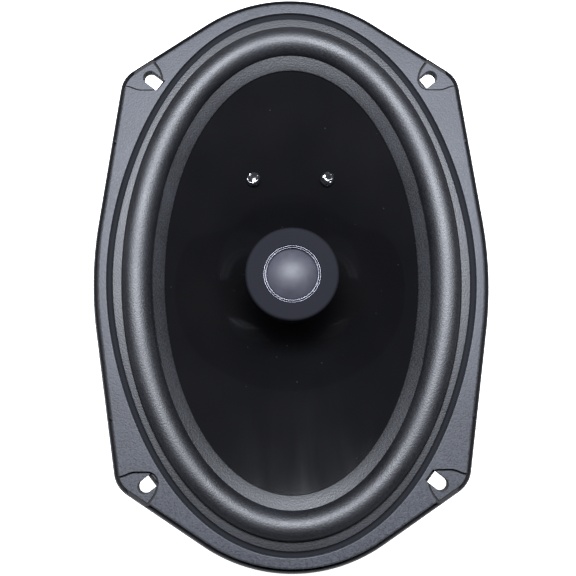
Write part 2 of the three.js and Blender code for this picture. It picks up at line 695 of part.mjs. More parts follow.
function tweeterYoke() {
  const { outer, inner, rear, floor, top } = TWEETER_YOKE;
  return turnedSolid([[0, rear], [outer - 0.6, rear], [outer, rear + 0.6], [outer, top], [inner, top],
    [inner, rear + floor], [0, rear + floor]], TWEETER_ROUND);
}

function disc(radius, bottom, top) {
  return turnedSolid([[0, bottom], [radius, bottom], [radius, top], [0, top]], TWEETER_ROUND);
}

function tweeterFormer() {
  return ringOf(DOME.radius - 0.4, DOME.radius - 0.2, DOME.edge - 4, DOME.edge - 0.05, TWEETER_ROUND);
}

function tweeterCoil() {
  return ringOf(DOME.radius - 0.15, DOME.radius + 0.3, DOME.edge - 3.4, DOME.edge - 1.2, TWEETER_ROUND);
}

/** Height of the dome's outer face at a radius, a shallow spherical cap. */
function domeHeight(r) {
  const sphere = (DOME.radius ** 2 + DOME.height ** 2) / (2 * DOME.height);
  return DOME.edge + DOME.thickness + DOME.height - sphere + Math.sqrt(sphere ** 2 - r ** 2);
}

function tweeterDome() {
  const radii = [0, 0.25, 0.5, 0.75, 1].map((share) => share * DOME.radius);
  const outside = radii.map((r) => [r, domeHeight(r)]);
  const inside = radii.map((r) => [r, domeHeight(r) - DOME.thickness]);
  return turnedSolid([...inside, ...outside.reverse()]);
}

/** Flexible edge of the dome's film, from the dome to where it is clamped. */
function tweeterDomeRoll() {
  const inner = DOME.radius + 0.05;
  const base = DOME.edge;
  const film = DOME.thickness;
  const clamp = TWEETER.mouth + 1.4;
  return turned([[inner, base], [inner + 0.6, base + 0.35], [inner + 1.2, base], [clamp, base - 0.4],
    [clamp, base - 0.4 + film], [inner + 1.2, base + film], [inner + 0.6, base + 0.35 + film],
    [inner, base + film]]);
}

/** Thin ring about the dome, inside the bezel's mouth. */
function tweeterTrimRing() {
  const outer = TWEETER.mouth - 0.05;
  const inner = outer - 0.95;
  const top = TWEETER_FACE - 0.75;
  return turned([[inner, top - 0.5], [outer, top - 0.5], [outer, top - 0.15], [outer - 0.2, top],
    [inner + 0.2, top], [inner, top - 0.15]]);
}

// ---------- assembly ----------

const MATERIALS = {
  moulded: [0x43464f, 0.62, 0],
  rubber: [0x2c2e34, 0.55, 0],
  cone: [0x0b0b0d, 0.18, 0],
  cement: [0x08080a, 0.12, 0],
  ferrite: [0x2b2b2d, 0.7, 0],
  zinc: [0xa9abb0, 0.38, 1],
  steel: [0x8d9096, 0.35, 1],
  aluminium: [0xb4b6ba, 0.4, 1],
  copper: [0xa4572f, 0.35, 1],
  brass: [0xb29a5b, 0.35, 1],
  cloth: [0x9c7a3c, 0.85, 0],
  nylon: [0x1c1c1e, 0.5, 0],
  sleeve: [0x2a3f86, 0.4, 0],
  tinned: [0xb9bac0, 0.4, 1],
  redWire: [0x8c1a18, 0.5, 0],
  blackWire: [0x141416, 0.5, 0],
  tweeterShell: [0x343843, 0.6, 0],
  silk: [0x777584, 0.5, 0],
  neodymium: [0xc4c6ca, 0.25, 1],
};

const speaker = new THREE.Group();

function add(name, material, geometry) {
  const [color, roughness, metalness] = MATERIALS[material];
  const finish = new THREE.MeshStandardMaterial({ color, roughness, metalness });
  const mesh = new THREE.Mesh(geometry, finish);
  mesh.name = name;
  speaker.add(mesh);
}

add('basket', 'moulded', basket());
add('t_yoke', 'zinc', yoke());
add('magnet', 'ferrite', magnet());
add('top_plate', 'zinc', topPlate());
SCREW_SPOTS.forEach((spot, k) => add(`basket_screw_${k + 1}`, 'steel', basketScrew(spot)));

add('surround', 'rubber', surround());
add('cone', 'cone', cone());
add('voice_coil_former', 'aluminium', voiceCoilFormer());
add('voice_coil', 'copper', voiceCoil());
add('spider', 'cloth', spider());
add('lead_joint_negative', 'cement', leadJoint(-1));
add('lead_joint_positive', 'cement', leadJoint(1));
add('tinsel_lead_negative', 'tinned', tinselLead(-1));
add('tinsel_lead_positive', 'tinned', tinselLead(1));

add('terminal_block', 'nylon', terminalBlock());
add('terminal_tab_positive', 'brass', terminalTab('positive'));
add('terminal_tab_negative', 'brass', terminalTab('negative'));
RIVET_SPOTS.forEach((x, k) => add(`terminal_rivet_${k + 1}`, 'steel', terminalRivet(x)));
add('crossover_capacitor', 'sleeve', capacitor());
add('capacitor_lead', 'tinned', capacitorLead());
add('tweeter_wire_positive', 'redWire', tweeterWirePositive());
add('tweeter_wire_negative', 'blackWire', tweeterWireNegative());

add('tweeter_post', 'nylon', tweeterPost());
add('tweeter_back_cap', 'tweeterShell', tweeterBackCap());
add('tweeter_bezel', 'tweeterShell', tweeterBezel());
add('tweeter_trim_ring', 'aluminium', tweeterTrimRing());
add('tweeter_yoke', 'zinc', tweeterYoke());
add('tweeter_magnet', 'neodymium',
  disc(TWEETER_MAGNET.radius, TWEETER_YOKE.rear + TWEETER_YOKE.floor, TWEETER_MAGNET.top));
add('tweeter_pole_plate', 'zinc', disc(TWEETER_PLATE_RADIUS, TWEETER_MAGNET.top, TWEETER_YOKE.top));
add('tweeter_dome', 'silk', tweeterDome());
add('tweeter_dome_roll', 'silk', tweeterDomeRoll());
add('tweeter_former', 'aluminium', tweeterFormer());
add('tweeter_coil', 'copper', tweeterCoil());

export default speaker;
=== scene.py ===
import math

import bmesh
import bpy
import numpy as np
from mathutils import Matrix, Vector


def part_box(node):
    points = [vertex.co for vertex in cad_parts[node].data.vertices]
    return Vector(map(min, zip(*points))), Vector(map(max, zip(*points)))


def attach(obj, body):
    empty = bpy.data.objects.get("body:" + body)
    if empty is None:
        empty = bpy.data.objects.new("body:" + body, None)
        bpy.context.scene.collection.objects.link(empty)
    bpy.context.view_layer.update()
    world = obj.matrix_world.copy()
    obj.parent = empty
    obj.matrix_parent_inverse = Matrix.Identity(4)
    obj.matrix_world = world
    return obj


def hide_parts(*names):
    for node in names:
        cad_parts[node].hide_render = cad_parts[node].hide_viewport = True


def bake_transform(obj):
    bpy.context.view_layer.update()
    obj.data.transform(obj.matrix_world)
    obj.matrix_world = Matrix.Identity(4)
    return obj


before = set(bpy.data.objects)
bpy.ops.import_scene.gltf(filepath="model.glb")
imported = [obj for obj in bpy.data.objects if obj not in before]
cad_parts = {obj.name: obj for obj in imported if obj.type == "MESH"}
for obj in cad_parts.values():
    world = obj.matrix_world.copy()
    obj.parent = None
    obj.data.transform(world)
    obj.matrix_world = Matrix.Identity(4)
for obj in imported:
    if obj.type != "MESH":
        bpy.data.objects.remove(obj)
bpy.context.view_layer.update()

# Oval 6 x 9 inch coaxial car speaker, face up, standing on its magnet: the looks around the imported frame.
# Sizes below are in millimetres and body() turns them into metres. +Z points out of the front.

MM = 0.001


# ---------- sizes from the frame ----------

def span(node):
    """Lowest and highest corner of a CAD node, in millimetres."""
    low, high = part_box(node)
    return np.array(low) / MM, np.array(high) / MM


def turned_size(node):
    """Outer radius, bottom and top of a turned CAD node, in millimetres."""
    low, high = span(node)
    return (high[0] - low[0]) / 2, low[2], high[2]


BASKET_LOW, BASKET_HIGH = span("basket")
HALF_WIDTH, HALF_LENGTH, FLANGE_FRONT = BASKET_HIGH
FOOT_BOTTOM = BASKET_LOW[2]
YOKE_RADIUS, _, POLE_TOP = turned_size("t_yoke")
MAGNET_RADIUS, MAGNET_BOTTOM, MAGNET_TOP = turned_size("magnet")
TOP_PLATE_RADIUS, _, TOP_PLATE_TOP = turned_size("top_plate")
FORMER_RADIUS, FORMER_BOTTOM, FORMER_TOP = turned_size("voice_coil_former")
COIL_RADIUS, COIL_BOTTOM, COIL_TOP = turned_size("voice_coil")
SPIDER_RADIUS = turned_size("spider")[0]
BACK_CAP_BOTTOM = turned_size("tweeter_back_cap")[1]
BEZEL_RADIUS, BEZEL_BOTTOM, BEZEL_TOP = turned_size("tweeter_bezel")
POST_COLLAR_RADIUS, POST_BOTTOM, POST_TOP = turned_size("tweeter_post")
TRIM_RADIUS, TRIM_BOTTOM, TRIM_TOP = turned_size("tweeter_trim_ring")
DOME_RADIUS, DOME_EDGE, DOME_TOP = turned_size("tweeter_dome")

# ---------- driving dimensions ----------

# flange outline: two side arcs, two end arcs and four rounded ears
SIDE_ARC_RADIUS = 156
SIDE_ARC_TURN = math.radians(8.2)
END_ARC_RADIUS = 64.3
END_ARC_TURN = math.radians(33.6)
EAR_RADIUS = 12
FLANGE_DRAFT = 2.8
FLANGE_REAR = 80
PLATE = 2.5
STATION_STEPS = {"side": 20, "long_line": 44, "ear": 20, "short_line": 26, "end": 36}

# ovals: half width, half length, flattening at 45 degrees
FLANGE_INNER = (74.3, 110.3, 1.2)
LIP_OUTER = (72.3, 108.3, 1.2)
ROLL_OUTER = (68.5, 104.3, 0)
LEDGE_INNER = (66.8, 102.6, 0)
RIM_OUTER = (70, 106.4, 0)
ROLL_INNER = (56.5, 92.7, 0)
CONE_VISIBLE = (51.8, 87.2, 0)
LEDGE_Z = FLANGE_FRONT - 2.2
RIM_BOTTOM = 72
ROLL_HEIGHT = 5.2
RUBBER = 0.9
LIP = 1.3

# screw slots and their sunk pads
SLOT_X, SLOT_Y = 56.9, 82
SLOT_WIDTH = 5.3
SLOT_INNER_SHORT, SLOT_INNER_LONG, SLOT_OUTER = 1.7, 3, 4.3
STEP_LENGTH, STEP_DEPTH = 1.7, 3.4
SLOT_ANGLE = math.radians(38)
POCKET_DEPTH = 1.2
POCKET_RADIUS = 4.6
POCKET_X, POCKET_Y = SLOT_X + 0.3, SLOT_Y - 0.4
BOSS_RADIUS = 8.5
QUARTERS = [(1, 1), (-1, 1), (-1, -1), (1, -1)]

# basket below the flange
FOOT_INNER, FOOT_OUTER, FOOT_WALL, FOOT_LEDGE = 17, 46, 2.5, 38.5
FOOT_TOP = 32
SPIDER_Z = 41
SPOKE_ANGLES = [math.radians(a) for a in (35, 145, 215, 325)]
SPOKE_WIDTH = 13
WIDE_SPOKE_WIDTH = 30
ARM_FROM, ARM_TOP, ARM_THICKNESS = 45, 76, 2.4
RIB_WIDTH = 2.4
GUSSET_ANGLES = (8, 24, 38, 72, 84)
SHELF_WIDTH, SHELF_FROM, SHELF_TO = 44, 48, 67
SHELF_BOTTOM, SHELF_TOP = 46, 48.5

# motor
YOKE_PLATE = 6
POLE_RADIUS, POLE_BORE = 12.1, 4.8
MAGNET_INNER = 25
TOP_PLATE_INNER = 14.3
GROOVE_WIDTH, GROOVE_DEPTH = 4, 2.2
SCREW_RING, SCREW_SHANK, SCREW_HEAD, SCREW_HEAD_HEIGHT = 33, 1.95, 3.9, 2.2
SCREW_BOTTOM = 25
SCREW_ANGLES = [math.radians(a) for a in (45, 135, 225, 315)]

# cone and suspension
NECK_Z = 46
CONE_EDGE_Z = 82
CONE_THICKNESS = 0.8
CONE_CURVE = 0.86
NECK_RADIUS = FORMER_RADIUS + 0.2
SPIDER_INNER = 12.9
SPIDER_THICKNESS = 0.6
SPIDER_ROLLS = 4
SPIDER_HEIGHT = 1.5
LEAD_X, LEAD_Y = 16, 44.6
LEAD_RADIUS = 0.6
LEAD_STRANDS, STRAND_TURNS_PER_MM = 4, 0.35
FORMER_WALL = 0.3
WINDING_THICKNESS, WINDING_TURNS, WIRE_BULGE = 0.7, 40, 0.12

# terminals
BLOCK_X, BLOCK_Y, BLOCK_WIDTH, BLOCK_DEPTH = -8, 56, 24, 12
BLOCK_BOTTOM = 37
TAB_THICKNESS, TAB_OUTER, TAB_HEIGHT, TAB_Y, TAB_TOP = 0.8, 75, 42, 58, 51.5
TAB_SPREAD = 5.5
TABS = {"positive": (BLOCK_X + TAB_SPREAD, 6.3), "negative": (BLOCK_X - TAB_SPREAD, 4.8)}
RIVET_XS = (BLOCK_X - 10.2, BLOCK_X + 10.2)
RIVET_SHANK, RIVET_HEAD = 1.2, 2.2
CAP_X, CAP_RADIUS, CAP_FROM, CAP_TO = 13, 5, 50, 67
CAP_Z = SHELF_BOTTOM - CAP_RADIUS - 0.3
WIRE_RADIUS = 0.5

# tweeter
POST_OUTER, POST_INNER = 4.7, 2.6
MOUTH = 11.45
BEZEL_WALL = 1.6
TWEETER_YOKE_OUTER, TWEETER_YOKE_INNER, TWEETER_YOKE_FLOOR = 14.2, 11, 2.4
DOME_FILM = 0.25

# camera and lamps, in metres
CAMERA_LENS = 51.75
CAMERA_PLACE = (-0.0072, -0.0440, 0.4155)
CAMERA_TURN = (0.1172, -0.0160, -0.0068)
LAMP_Y, LAMP_HEIGHT = 0.095, 0.46
LAMP_COLOR = (0.87, 0.91, 1)
FLOOR_HALF_SIZE = 3.0

ROUND = 160
SMALL_ROUND = 48
CURVE_STEPS = 24


# ---------- meshes ----------

def solid(name, points, faces):
    """A closed mesh object from points in millimetres, its faces turned outwards."""
    mesh = bpy.data.meshes.new(name)
    mesh.from_pydata([tuple(p) for p in np.asarray(points, float) * MM], [], faces)
    shape = bmesh.new()
    shape.from_mesh(mesh)
    bmesh.ops.remove_doubles(shape, verts=shape.verts, dist=1e-7)
    bmesh.ops.recalc_face_normals(shape, faces=shape.faces)
    shape.to_mesh(mesh)
    shape.free()
    made = bpy.data.objects.new(name, mesh)
    bpy.context.scene.collection.objects.link(made)
    return made


def loft_faces(rows, around, closed_rows, closed_around=True):
    faces = []
    for r in range(rows if closed_rows else rows - 1):
        for i in range(around if closed_around else around - 1):
            j = (i + 1) % around
            s = (r + 1) % rows
            faces.append((r * around + i, r * around + j, s * around + j, s * around + i))
    return faces


def loft(name, sections, closed=True):
    """Loops of equal numbers of points. Closed joins the last to the first, else both are capped."""
    sections = [np.asarray(s, float) for s in sections]
    around = len(sections[0])
    faces = loft_faces(len(sections), around, closed)
    if not closed:
        last = (len(sections) - 1) * around
        faces.append(tuple(range(around)))
        faces.append(tuple(range(last, last + around)))
    return solid(name, np.concatenate(sections), faces)


def rounded(points, radius, steps=3, closed=True):
    """The same outline with each corner rounded. Points may hold one place or a whole loop of places each."""
    points = [np.asarray(p, float) for p in points]
    count = len(points)
    radii = radius if isinstance(radius, (list, tuple)) else [radius] * count
    result = []
    for k, corner in enumerate(points):
        at_end = not closed and k in (0, count - 1)
        if at_end or radii[k] == 0:
            result.append(corner)
            continue
        before, after = points[k - 1] - corner, points[(k + 1) % count] - corner
        length_before = np.linalg.norm(before, axis=-1, keepdims=True)
        length_after = np.linalg.norm(after, axis=-1, keepdims=True)
        reach = np.minimum(radii[k], 0.45 * np.minimum(length_before, length_after))
        start = corner + before / np.maximum(length_before, 1e-9) * reach
        stop = corner + after / np.maximum(length_after, 1e-9) * reach
        for step in range(steps + 1):
            t = step / steps
            result.append((1 - t) ** 2 * start + 2 * t * (1 - t) * corner + t ** 2 * stop)
    return result


def circle(segments):
    angles = np.arange(segments) * 2 * math.pi / segments
    return np.stack([np.cos(angles), np.sin(angles)], 1)


def rings(profile, segments):
    """One level circle for each (radius, z)."""
    return [np.column_stack([circle(segments) * r, np.full(segments, z)]) for r, z in profile]


def turned(name, profile, radius=0.4, steps=3, segments=ROUND):
    """Turned body about Z from a closed outline of (radius, z), its corners rounded."""
    return loft(name, rings(rounded(profile, radius, steps), segments))


def turned_cap(name, profile, radius=0.4, steps=3, segments=ROUND):
    """Turned body whose outline starts and ends on the axis."""
    outline = rounded(profile, radius, steps, closed=False)
    inner = [p for p in outline if p[0] > 1e-6]
    ends = np.array([[0, 0, outline[0][1]], [0, 0, outline[-1][1]]])
    points = np.concatenate(rings(inner, segments) + [ends])
    faces = loft_faces(len(inner), segments, False)
    first, last = len(points) - 2, len(points) - 1
    top = (len(inner) - 1) * segments
    for i in range(segments):
        j = (i + 1) % segments
        faces.append((first, i, j))
        faces.append((last, top + j, top + i))
    return solid(name, points, faces)


def prism(name, outline, levels):
    """Outline of (x, y) points lofted through levels of (z, growth)."""
    outline = np.asarray(outline, float)
    ahead = np.roll(outline, -1, 0) - outline
    behind = outline - np.roll(outline, 1, 0)
    along = ahead / np.linalg.norm(ahead, axis=1, keepdims=True)
    along = along + behind / np.linalg.norm(behind, axis=1, keepdims=True)
    along = along / np.linalg.norm(along, axis=1, keepdims=True)
    out = np.stack([along[:, 1], -along[:, 0]], 1)
    sections = [np.column_stack([outline + out * grow, np.full(len(outline), z)]) for z, grow in levels]
    return loft(name, sections, closed=False)


def turn_about_z(angle):
    """Matrix that turns rows of points written on its left."""
    c, s = math.cos(angle), math.sin(angle)
    return np.array([[c, s, 0], [-s, c, 0], [0, 0, 1]])


def plate(name, outline, width, edge=0.5, angle=0.0, centre=0.0):
    """Outline of (radius, z) points as a plate of that width, its edges eased, turned to an angle about Z."""
    half = width / 2
    levels = [(-half, -edge), (-half + edge, 0), (half - edge, 0), (half, -edge)]
    made = prism(name, rounded(outline, edge), levels)
    co = vertices(made)
    upright = np.column_stack([co[:, 0], centre * MM - co[:, 2], co[:, 1]])
    set_vertices(made, upright @ turn_about_z(angle))
    return made


def box_body(name, x, y, z, edge=0.4):
    """Box with eased edges from its three (low, high) pairs."""
    outline = rounded([(x[0], y[0]), (x[1], y[0]), (x[1], y[1]), (x[0], y[1])], edge)
    slope = edge * 0.6
    levels = [(z[0], -slope), (z[0] + slope, 0), (z[1] - slope, 0), (z[1], -slope)]
    return prism(name, outline, levels)


def pin(name, radius, bottom, top, x, y, segments=SMALL_ROUND):
    outline = np.array([x, y]) + radius * circle(segments)
    return prism(name, outline, [(bottom, 0), (top, 0)])


def vertices(piece):
    co = np.zeros(len(piece.data.vertices) * 3)
    piece.data.vertices.foreach_get("co", co)
    return co.reshape(-1, 3)


def set_vertices(piece, co):
    piece.data.vertices.foreach_set("co", np.asarray(co, float).ravel())
    piece.data.update()


def shift(piece, x=0.0, y=0.0, z=0.0):
    set_vertices(piece, vertices(piece) + np.array([x, y, z]) * MM)
    return piece


def mirror(piece, sx, sy):
    """The piece moved to another quarter of the speaker."""
    piece.data.transform(((sx, 0, 0, 0), (0, sy, 0, 0), (0, 0, 1, 0), (0, 0, 0, 1)))
    if sx * sy < 0:
        piece.data.flip_normals()
    return piece


def combine(piece, tools, operation):
    """Joins the tools to the piece or cuts them from it, and removes the tools."""
    for tool in tools:
        change = piece.modifiers.new("change", "BOOLEAN")
        change.operation = operation
        change.solver = "MANIFOLD"
        change.object = tool
    graph = bpy.context.evaluated_depsgraph_get()
    mesh = bpy.data.meshes.new_from_object(piece.evaluated_get(graph))
    piece.modifiers.clear()
    piece.data = mesh
    for tool in tools:
        bpy.data.objects.remove(tool)
    return piece


def join(piece, *tools):
    return combine(piece, tools, "UNION")


def cut(piece, *tools):
    return combine(piece, tools, "DIFFERENCE")


def common(piece, tool):
    return combine(piece, [tool], "INTERSECT")


def gather(name, pieces):
    """Several separate bodies as one object."""
    whole = bmesh.new()
    for piece in pieces:
        whole.from_mesh(piece.data)
    mesh = bpy.data.meshes.new(name)
    whole.to_mesh(mesh)
    whole.free()
    for piece in pieces:
        bpy.data.objects.remove(piece)
    made = bpy.data.objects.new(name, mesh)
    bpy.context.scene.collection.objects.link(made)
    return made


def finish_piece(piece, material, body, nodes=(), sharp=35):
    """Smooth shading, material and body of a made piece."""
    # the frame's own materials have these names too, so Blender adds a number after a dot
    piece.data.polygons.foreach_set("use_smooth", [True] * len(piece.data.polygons))
    piece.data.set_sharp_from_angle(angle=math.radians(sharp))
    weighted = piece.modifiers.new("weighted", "WEIGHTED_NORMAL")
    weighted.keep_sharp = True
    piece.data.materials.clear()
    piece.data.materials.append(material)
    if nodes:
        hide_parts(*nodes)
    if body:
        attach(piece, body)
    return piece


# ---------- curves ----------

def arc(steps, turn):
    return np.linspace(0, turn, steps + 1)


def quarter_outline(inset):
    """First quarter of the flange outline, from the middle of the side to the middle of the end."""
    angle = arc(STATION_STEPS["side"], SIDE_ARC_TURN)
    radius = SIDE_ARC_RADIUS - inset
    side = np.stack([HALF_WIDTH - inset - radius * (1 - np.cos(angle)), radius * np.sin(angle)], 1)
    angle = arc(STATION_STEPS["end"], END_ARC_TURN)[::-1]
    radius = END_ARC_RADIUS - inset
    end = np.stack([radius * np.sin(angle), HALF_LENGTH - inset - radius * (1 - np.cos(angle))], 1)
    up = np.array([-math.sin(SIDE_ARC_TURN), math.cos(SIDE_ARC_TURN)])
    out = np.array([math.cos(END_ARC_TURN), -math.sin(END_ARC_TURN)])
    gap = end[0] - side[-1]
    reach = (gap[0] * out[1] - gap[1] * out[0]) / (up[0] * out[1] - up[1] * out[0])
    corner = side[-1] + up * reach
    turn = math.pi / 2 - END_ARC_TURN - SIDE_ARC_TURN
    radius = EAR_RADIUS - inset
    tangent = radius * math.tan(turn / 2)
    start, stop = corner - up * tangent, corner - out * tangent
    centre = start + np.array([-up[1], up[0]]) * radius
    angle = SIDE_ARC_TURN + arc(STATION_STEPS["ear"], turn)
    ear = centre + radius * np.stack([np.cos(angle), np.sin(angle)], 1)
    long_line = np.linspace(side[-1], start, STATION_STEPS["long_line"] + 1)[1:-1]
    short_line = np.linspace(stop, end[0], STATION_STEPS["short_line"] + 1)[1:-1]
    return np.concatenate([side, long_line, ear, short_line, end])


def outline(inset=0.0):
    """The whole flange outline, moved inwards by an inset, counter-clockwise."""
    quarter = quarter_outline(inset)
    upper = np.concatenate([quarter, (quarter[:-1] * [-1, 1])[::-1]])
    lower = (upper[1:-1] * [1, -1])[::-1]
    return np.concatenate([upper, lower])


STATIONS = np.arctan2(outline()[:, 1], outline()[:, 0])


def oval_radius(oval, angle):
    a, b, flat = oval
    ellipse = a * b / np.hypot(b * np.cos(angle), a * np.sin(angle))
    return ellipse - flat * (1 - np.cos(4 * angle)) / 2


def outline_at(inset, z):
    flat = outline(inset)
    return np.column_stack([flat, np.full(len(flat), z)])


def oval_at(oval, z, grow=0.0, angles=STATIONS):
    radius = oval_radius(oval, angles) + grow
    return np.column_stack([radius * np.cos(angles), radius * np.sin(angles), np.zeros(len(angles)) + z])


def between(first, second, share):
    return tuple(a + (b - a) * share for a, b in zip(first, second))


def cone_rise(share):
    return NECK_Z + (CONE_EDGE_Z - NECK_Z) * share ** CONE_CURVE


def cone_height(x, y):
    """Height of the cone's front face above a point: its radius grows evenly from neck to edge."""
    angle = math.atan2(y, x)
    edge = oval_radius(ROLL_INNER, angle)
    share = np.clip((math.hypot(x, y) - NECK_RADIUS) / (edge - NECK_RADIUS), 0, 1)
    return cone_rise(share)


def cone_normal(x, y):
    step = 0.25
    slope_x = (cone_height(x + step, y) - cone_height(x - step, y)) / (2 * step)
    slope_y = (cone_height(x, y + step) - cone_height(x, y - step)) / (2 * step)
    return Vector((-slope_x, -slope_y, 1)).normalized()


def mixed(first, second, start, stop, t):
    """Straight mix of two points: the first at start and the second at stop."""
    return (first * (stop - t) + second * (t - start)) / (stop - start)


def curve_point(p, knots, t):
    """Point at t of the Catmull-Rom curve between the middle two of four points."""
    lines = [mixed(p[i], p[i + 1], knots[i], knots[i + 1], t) for i in range(3)]
    bends = [mixed(lines[i], lines[i + 1], knots[i], knots[i + 2], t) for i in range(2)]
    return mixed(bends[0], bends[1], knots[1], knots[2], t)


def distance_along(path):
    return np.concatenate([[0], np.cumsum(np.linalg.norm(np.diff(path, axis=0), axis=1))])


def smooth_path(points, spacing):
    """Even steps along a centripetal curve through given points."""
    points = np.asarray(points, float)
    padded = np.concatenate([[2 * points[0] - points[1]], points, [2 * points[-1] - points[-2]]])
    curve = []
    for k in range(1, len(padded) - 2):
        p = padded[k - 1:k + 3]
        knots = np.concatenate([[0], np.cumsum(np.sqrt(np.linalg.norm(np.diff(p, axis=0), axis=1)))])
        for t in np.linspace(knots[1], knots[2], CURVE_STEPS, endpoint=False):
            curve.append(curve_point(p, knots, t))
    curve.append(points[-1])
    curve = np.array(curve)
    travelled = distance_along(curve)
    marks = np.linspace(0, travelled[-1], max(4, int(travelled[-1] / spacing)))
    return np.stack([np.interp(marks, travelled, curve[:, i]) for i in range(3)], 1)


def frames_along(path):
    """Tangent and two cross directions at each point of a path, without sudden turns."""
    tangents = np.gradient(path, axis=0)
    tangents /= np.linalg.norm(tangents, axis=1, keepdims=True)
    side = np.cross(tangents[0], [0.3, 0.9, 0.1])
    sides = []
    for tangent in tangents:
        side = side - tangent * (side @ tangent)
        side = side / np.linalg.norm(side)
        sides.append(side)
    sides = np.array(sides)
    return tangents, sides, np.cross(tangents, sides)


def tube(name, path, radius, sides=14):
    """Round wire along a path, with slightly domed ends."""
    tangents, across, up = frames_along(path)
    angles = np.arange(sides) * 2 * math.pi / sides
    count = len(path)

    def ring(k, scale, offset):
        flat = np.outer(np.cos(angles), across[k]) + np.outer(np.sin(angles), up[k])
        return path[k] + flat * radius * scale + tangents[k] * offset * radius

    sections = [ring(0, 0.6, 0)] + [ring(0, 1, 0.2)]
    sections += [ring(k, 1, 0) for k in range(1, count - 1)]
    sections += [ring(count - 1, 1, -0.2), ring(count - 1, 0.6, 0)]
    return loft(name, sections, closed=False)


def strands(name, path, radius, count, turns_per_mm, sides=8):
    """Several thin strands laid round each other along a path, as a flexible lead is made."""
    _, across, up = frames_along(path)
    travelled = distance_along(path)
    thin = radius * 0.48
    made = []
    for s in range(count):
        phase = 2 * math.pi * (travelled * turns_per_mm + s / count)
        ride = across * np.cos(phase)[:, None] + up * np.sin(phase)[:, None]
        made.append(tube(f"{name}_{s}", path + ride * (radius - thin), thin, sides))
    return made


# ---------- materials ----------

class Nodes:
    """A material's node tree with short ways to add and link nodes."""

    SOCKETS = {
        "color": "Base Color", "roughness": "Roughness", "metallic": "Metallic",
        "specular": "Specular IOR Level", "coat": "Coat Weight", "coat_roughness": "Coat Roughness",
        "sheen": "Sheen Weight",
    }

    def __init__(self, name):
        self.material = bpy.data.materials.new(name)
        self.material.use_nodes = True
        self.tree = self.material.node_tree
        self.shader = self.tree.nodes["Principled BSDF"]
        self.place = self.tree.nodes.new("ShaderNodeTexCoord").outputs["Object"]

    def set(self, **values):
        for key, value in values.items():
            socket = self.shader.inputs[self.SOCKETS[key]]
            socket.default_value = (*value, 1) if isinstance(value, tuple) else value
        return self

    def node(self, kind, **values):
        made = self.tree.nodes.new(kind)
        for key, value in values.items():
            setattr(made, key, value)
        return made

    def link(self, output, to):
        self.tree.links.new(output, to)

    def noise(self, size, detail=2.0, roughness=0.5, vector=None):
        """Soft random values, their features about size millimetres across."""
        made = self.node("ShaderNodeTexNoise")
        made.inputs["Scale"].default_value = 1 / (size * MM)
        made.inputs["Detail"].default_value = detail
        made.inputs["Roughness"].default_value = roughness
        self.link(vector or self.place, made.inputs["Vector"])
        return made.outputs["Fac"]

    def cells(self, size):
        """Random grains about size millimetres across, as distance from each grain's middle."""
        made = self.node("ShaderNodeTexVoronoi")
        made.inputs["Scale"].default_value = 1 / (size * MM)
        self.link(self.place, made.inputs["Vector"])
        return made.outputs["Distance"]

    def math(self, operation, a, b=0.0):
        made = self.node("ShaderNodeMath", operation=operation)
        for value, socket in ((a, made.inputs[0]), (b, made.inputs[1])):
            if isinstance(value, (int, float)):
                socket.default_value = value
            else:
                self.link(value, socket)
        return made.outputs[0]

    def range(self, value, low, high, start=0.3, stop=0.7):
        """Low at start and high at stop. Noise seldom goes past 0.3 and 0.7."""
        made = self.node("ShaderNodeMapRange")
        made.inputs["From Min"].default_value = start
        made.inputs["From Max"].default_value = stop
        made.inputs["To Min"].default_value = low
        made.inputs["To Max"].default_value = high
        self.link(value, made.inputs["Value"])
        return made.outputs["Result"]

    def mix(self, share, first, second):
        made = self.node("ShaderNodeMix", data_type="RGBA")
        self.link(share, made.inputs["Factor"])
        for value, socket in ((first, made.inputs[6]), (second, made.inputs[7])):
            if isinstance(value, tuple):
                socket.default_value = (*value, 1)
            else:
                self.link(value, socket)
        return made.outputs[2]

    def bump(self, height, depth):
        """Relief of that depth in millimetres."""
        made = self.node("ShaderNodeBump")
        made.inputs["Distance"].default_value = depth * MM
        made.inputs["Strength"].default_value = 1
        self.link(height, made.inputs["Height"])
        return made.outputs["Normal"]

    def axis(self, name):
        made = self.node("ShaderNodeSeparateXYZ")
        self.link(self.place, made.inputs[0])
        return made.outputs[name]

    def radius(self):
        """Distance from the speaker's axis, in metres."""
        x, y = self.axis("X"), self.axis("Y")
        return self.math("SQRT", self.math("ADD", self.math("MULTIPLY", x, x), self.math("MULTIPLY", y, y)))

    def finish(self, color, roughness=None, normal=None):
        for value, name in ((color, "Base Color"), (roughness, "Roughness"), (normal, "Normal")):
            if value is not None:
                self.link(value, self.shader.inputs[name])
        return self.material


def grained(name, dark, light, rough, grain, depth, cloud=22.0, speckle=0.15, **values):
    """Moulded or rubbery surface: uneven tone with a share of fine speckle, and fine grain."""
    n = Nodes(name).set(**values)
    tone = n.noise(cloud, 3)
    fine = n.noise(grain, 2, 0.6)
    shade = n.math("ADD", n.math("MULTIPLY", tone, 1 - speckle), n.math("MULTIPLY", fine, speckle))
    color = n.mix(n.range(shade, 0, 1), dark, light)
    gloss = n.range(n.math("ADD", n.math("MULTIPLY", tone, 0.4), n.math("MULTIPLY", fine, 0.6)),
                    rough[0], rough[1])
    return n.finish(color, gloss, n.bump(fine, depth))


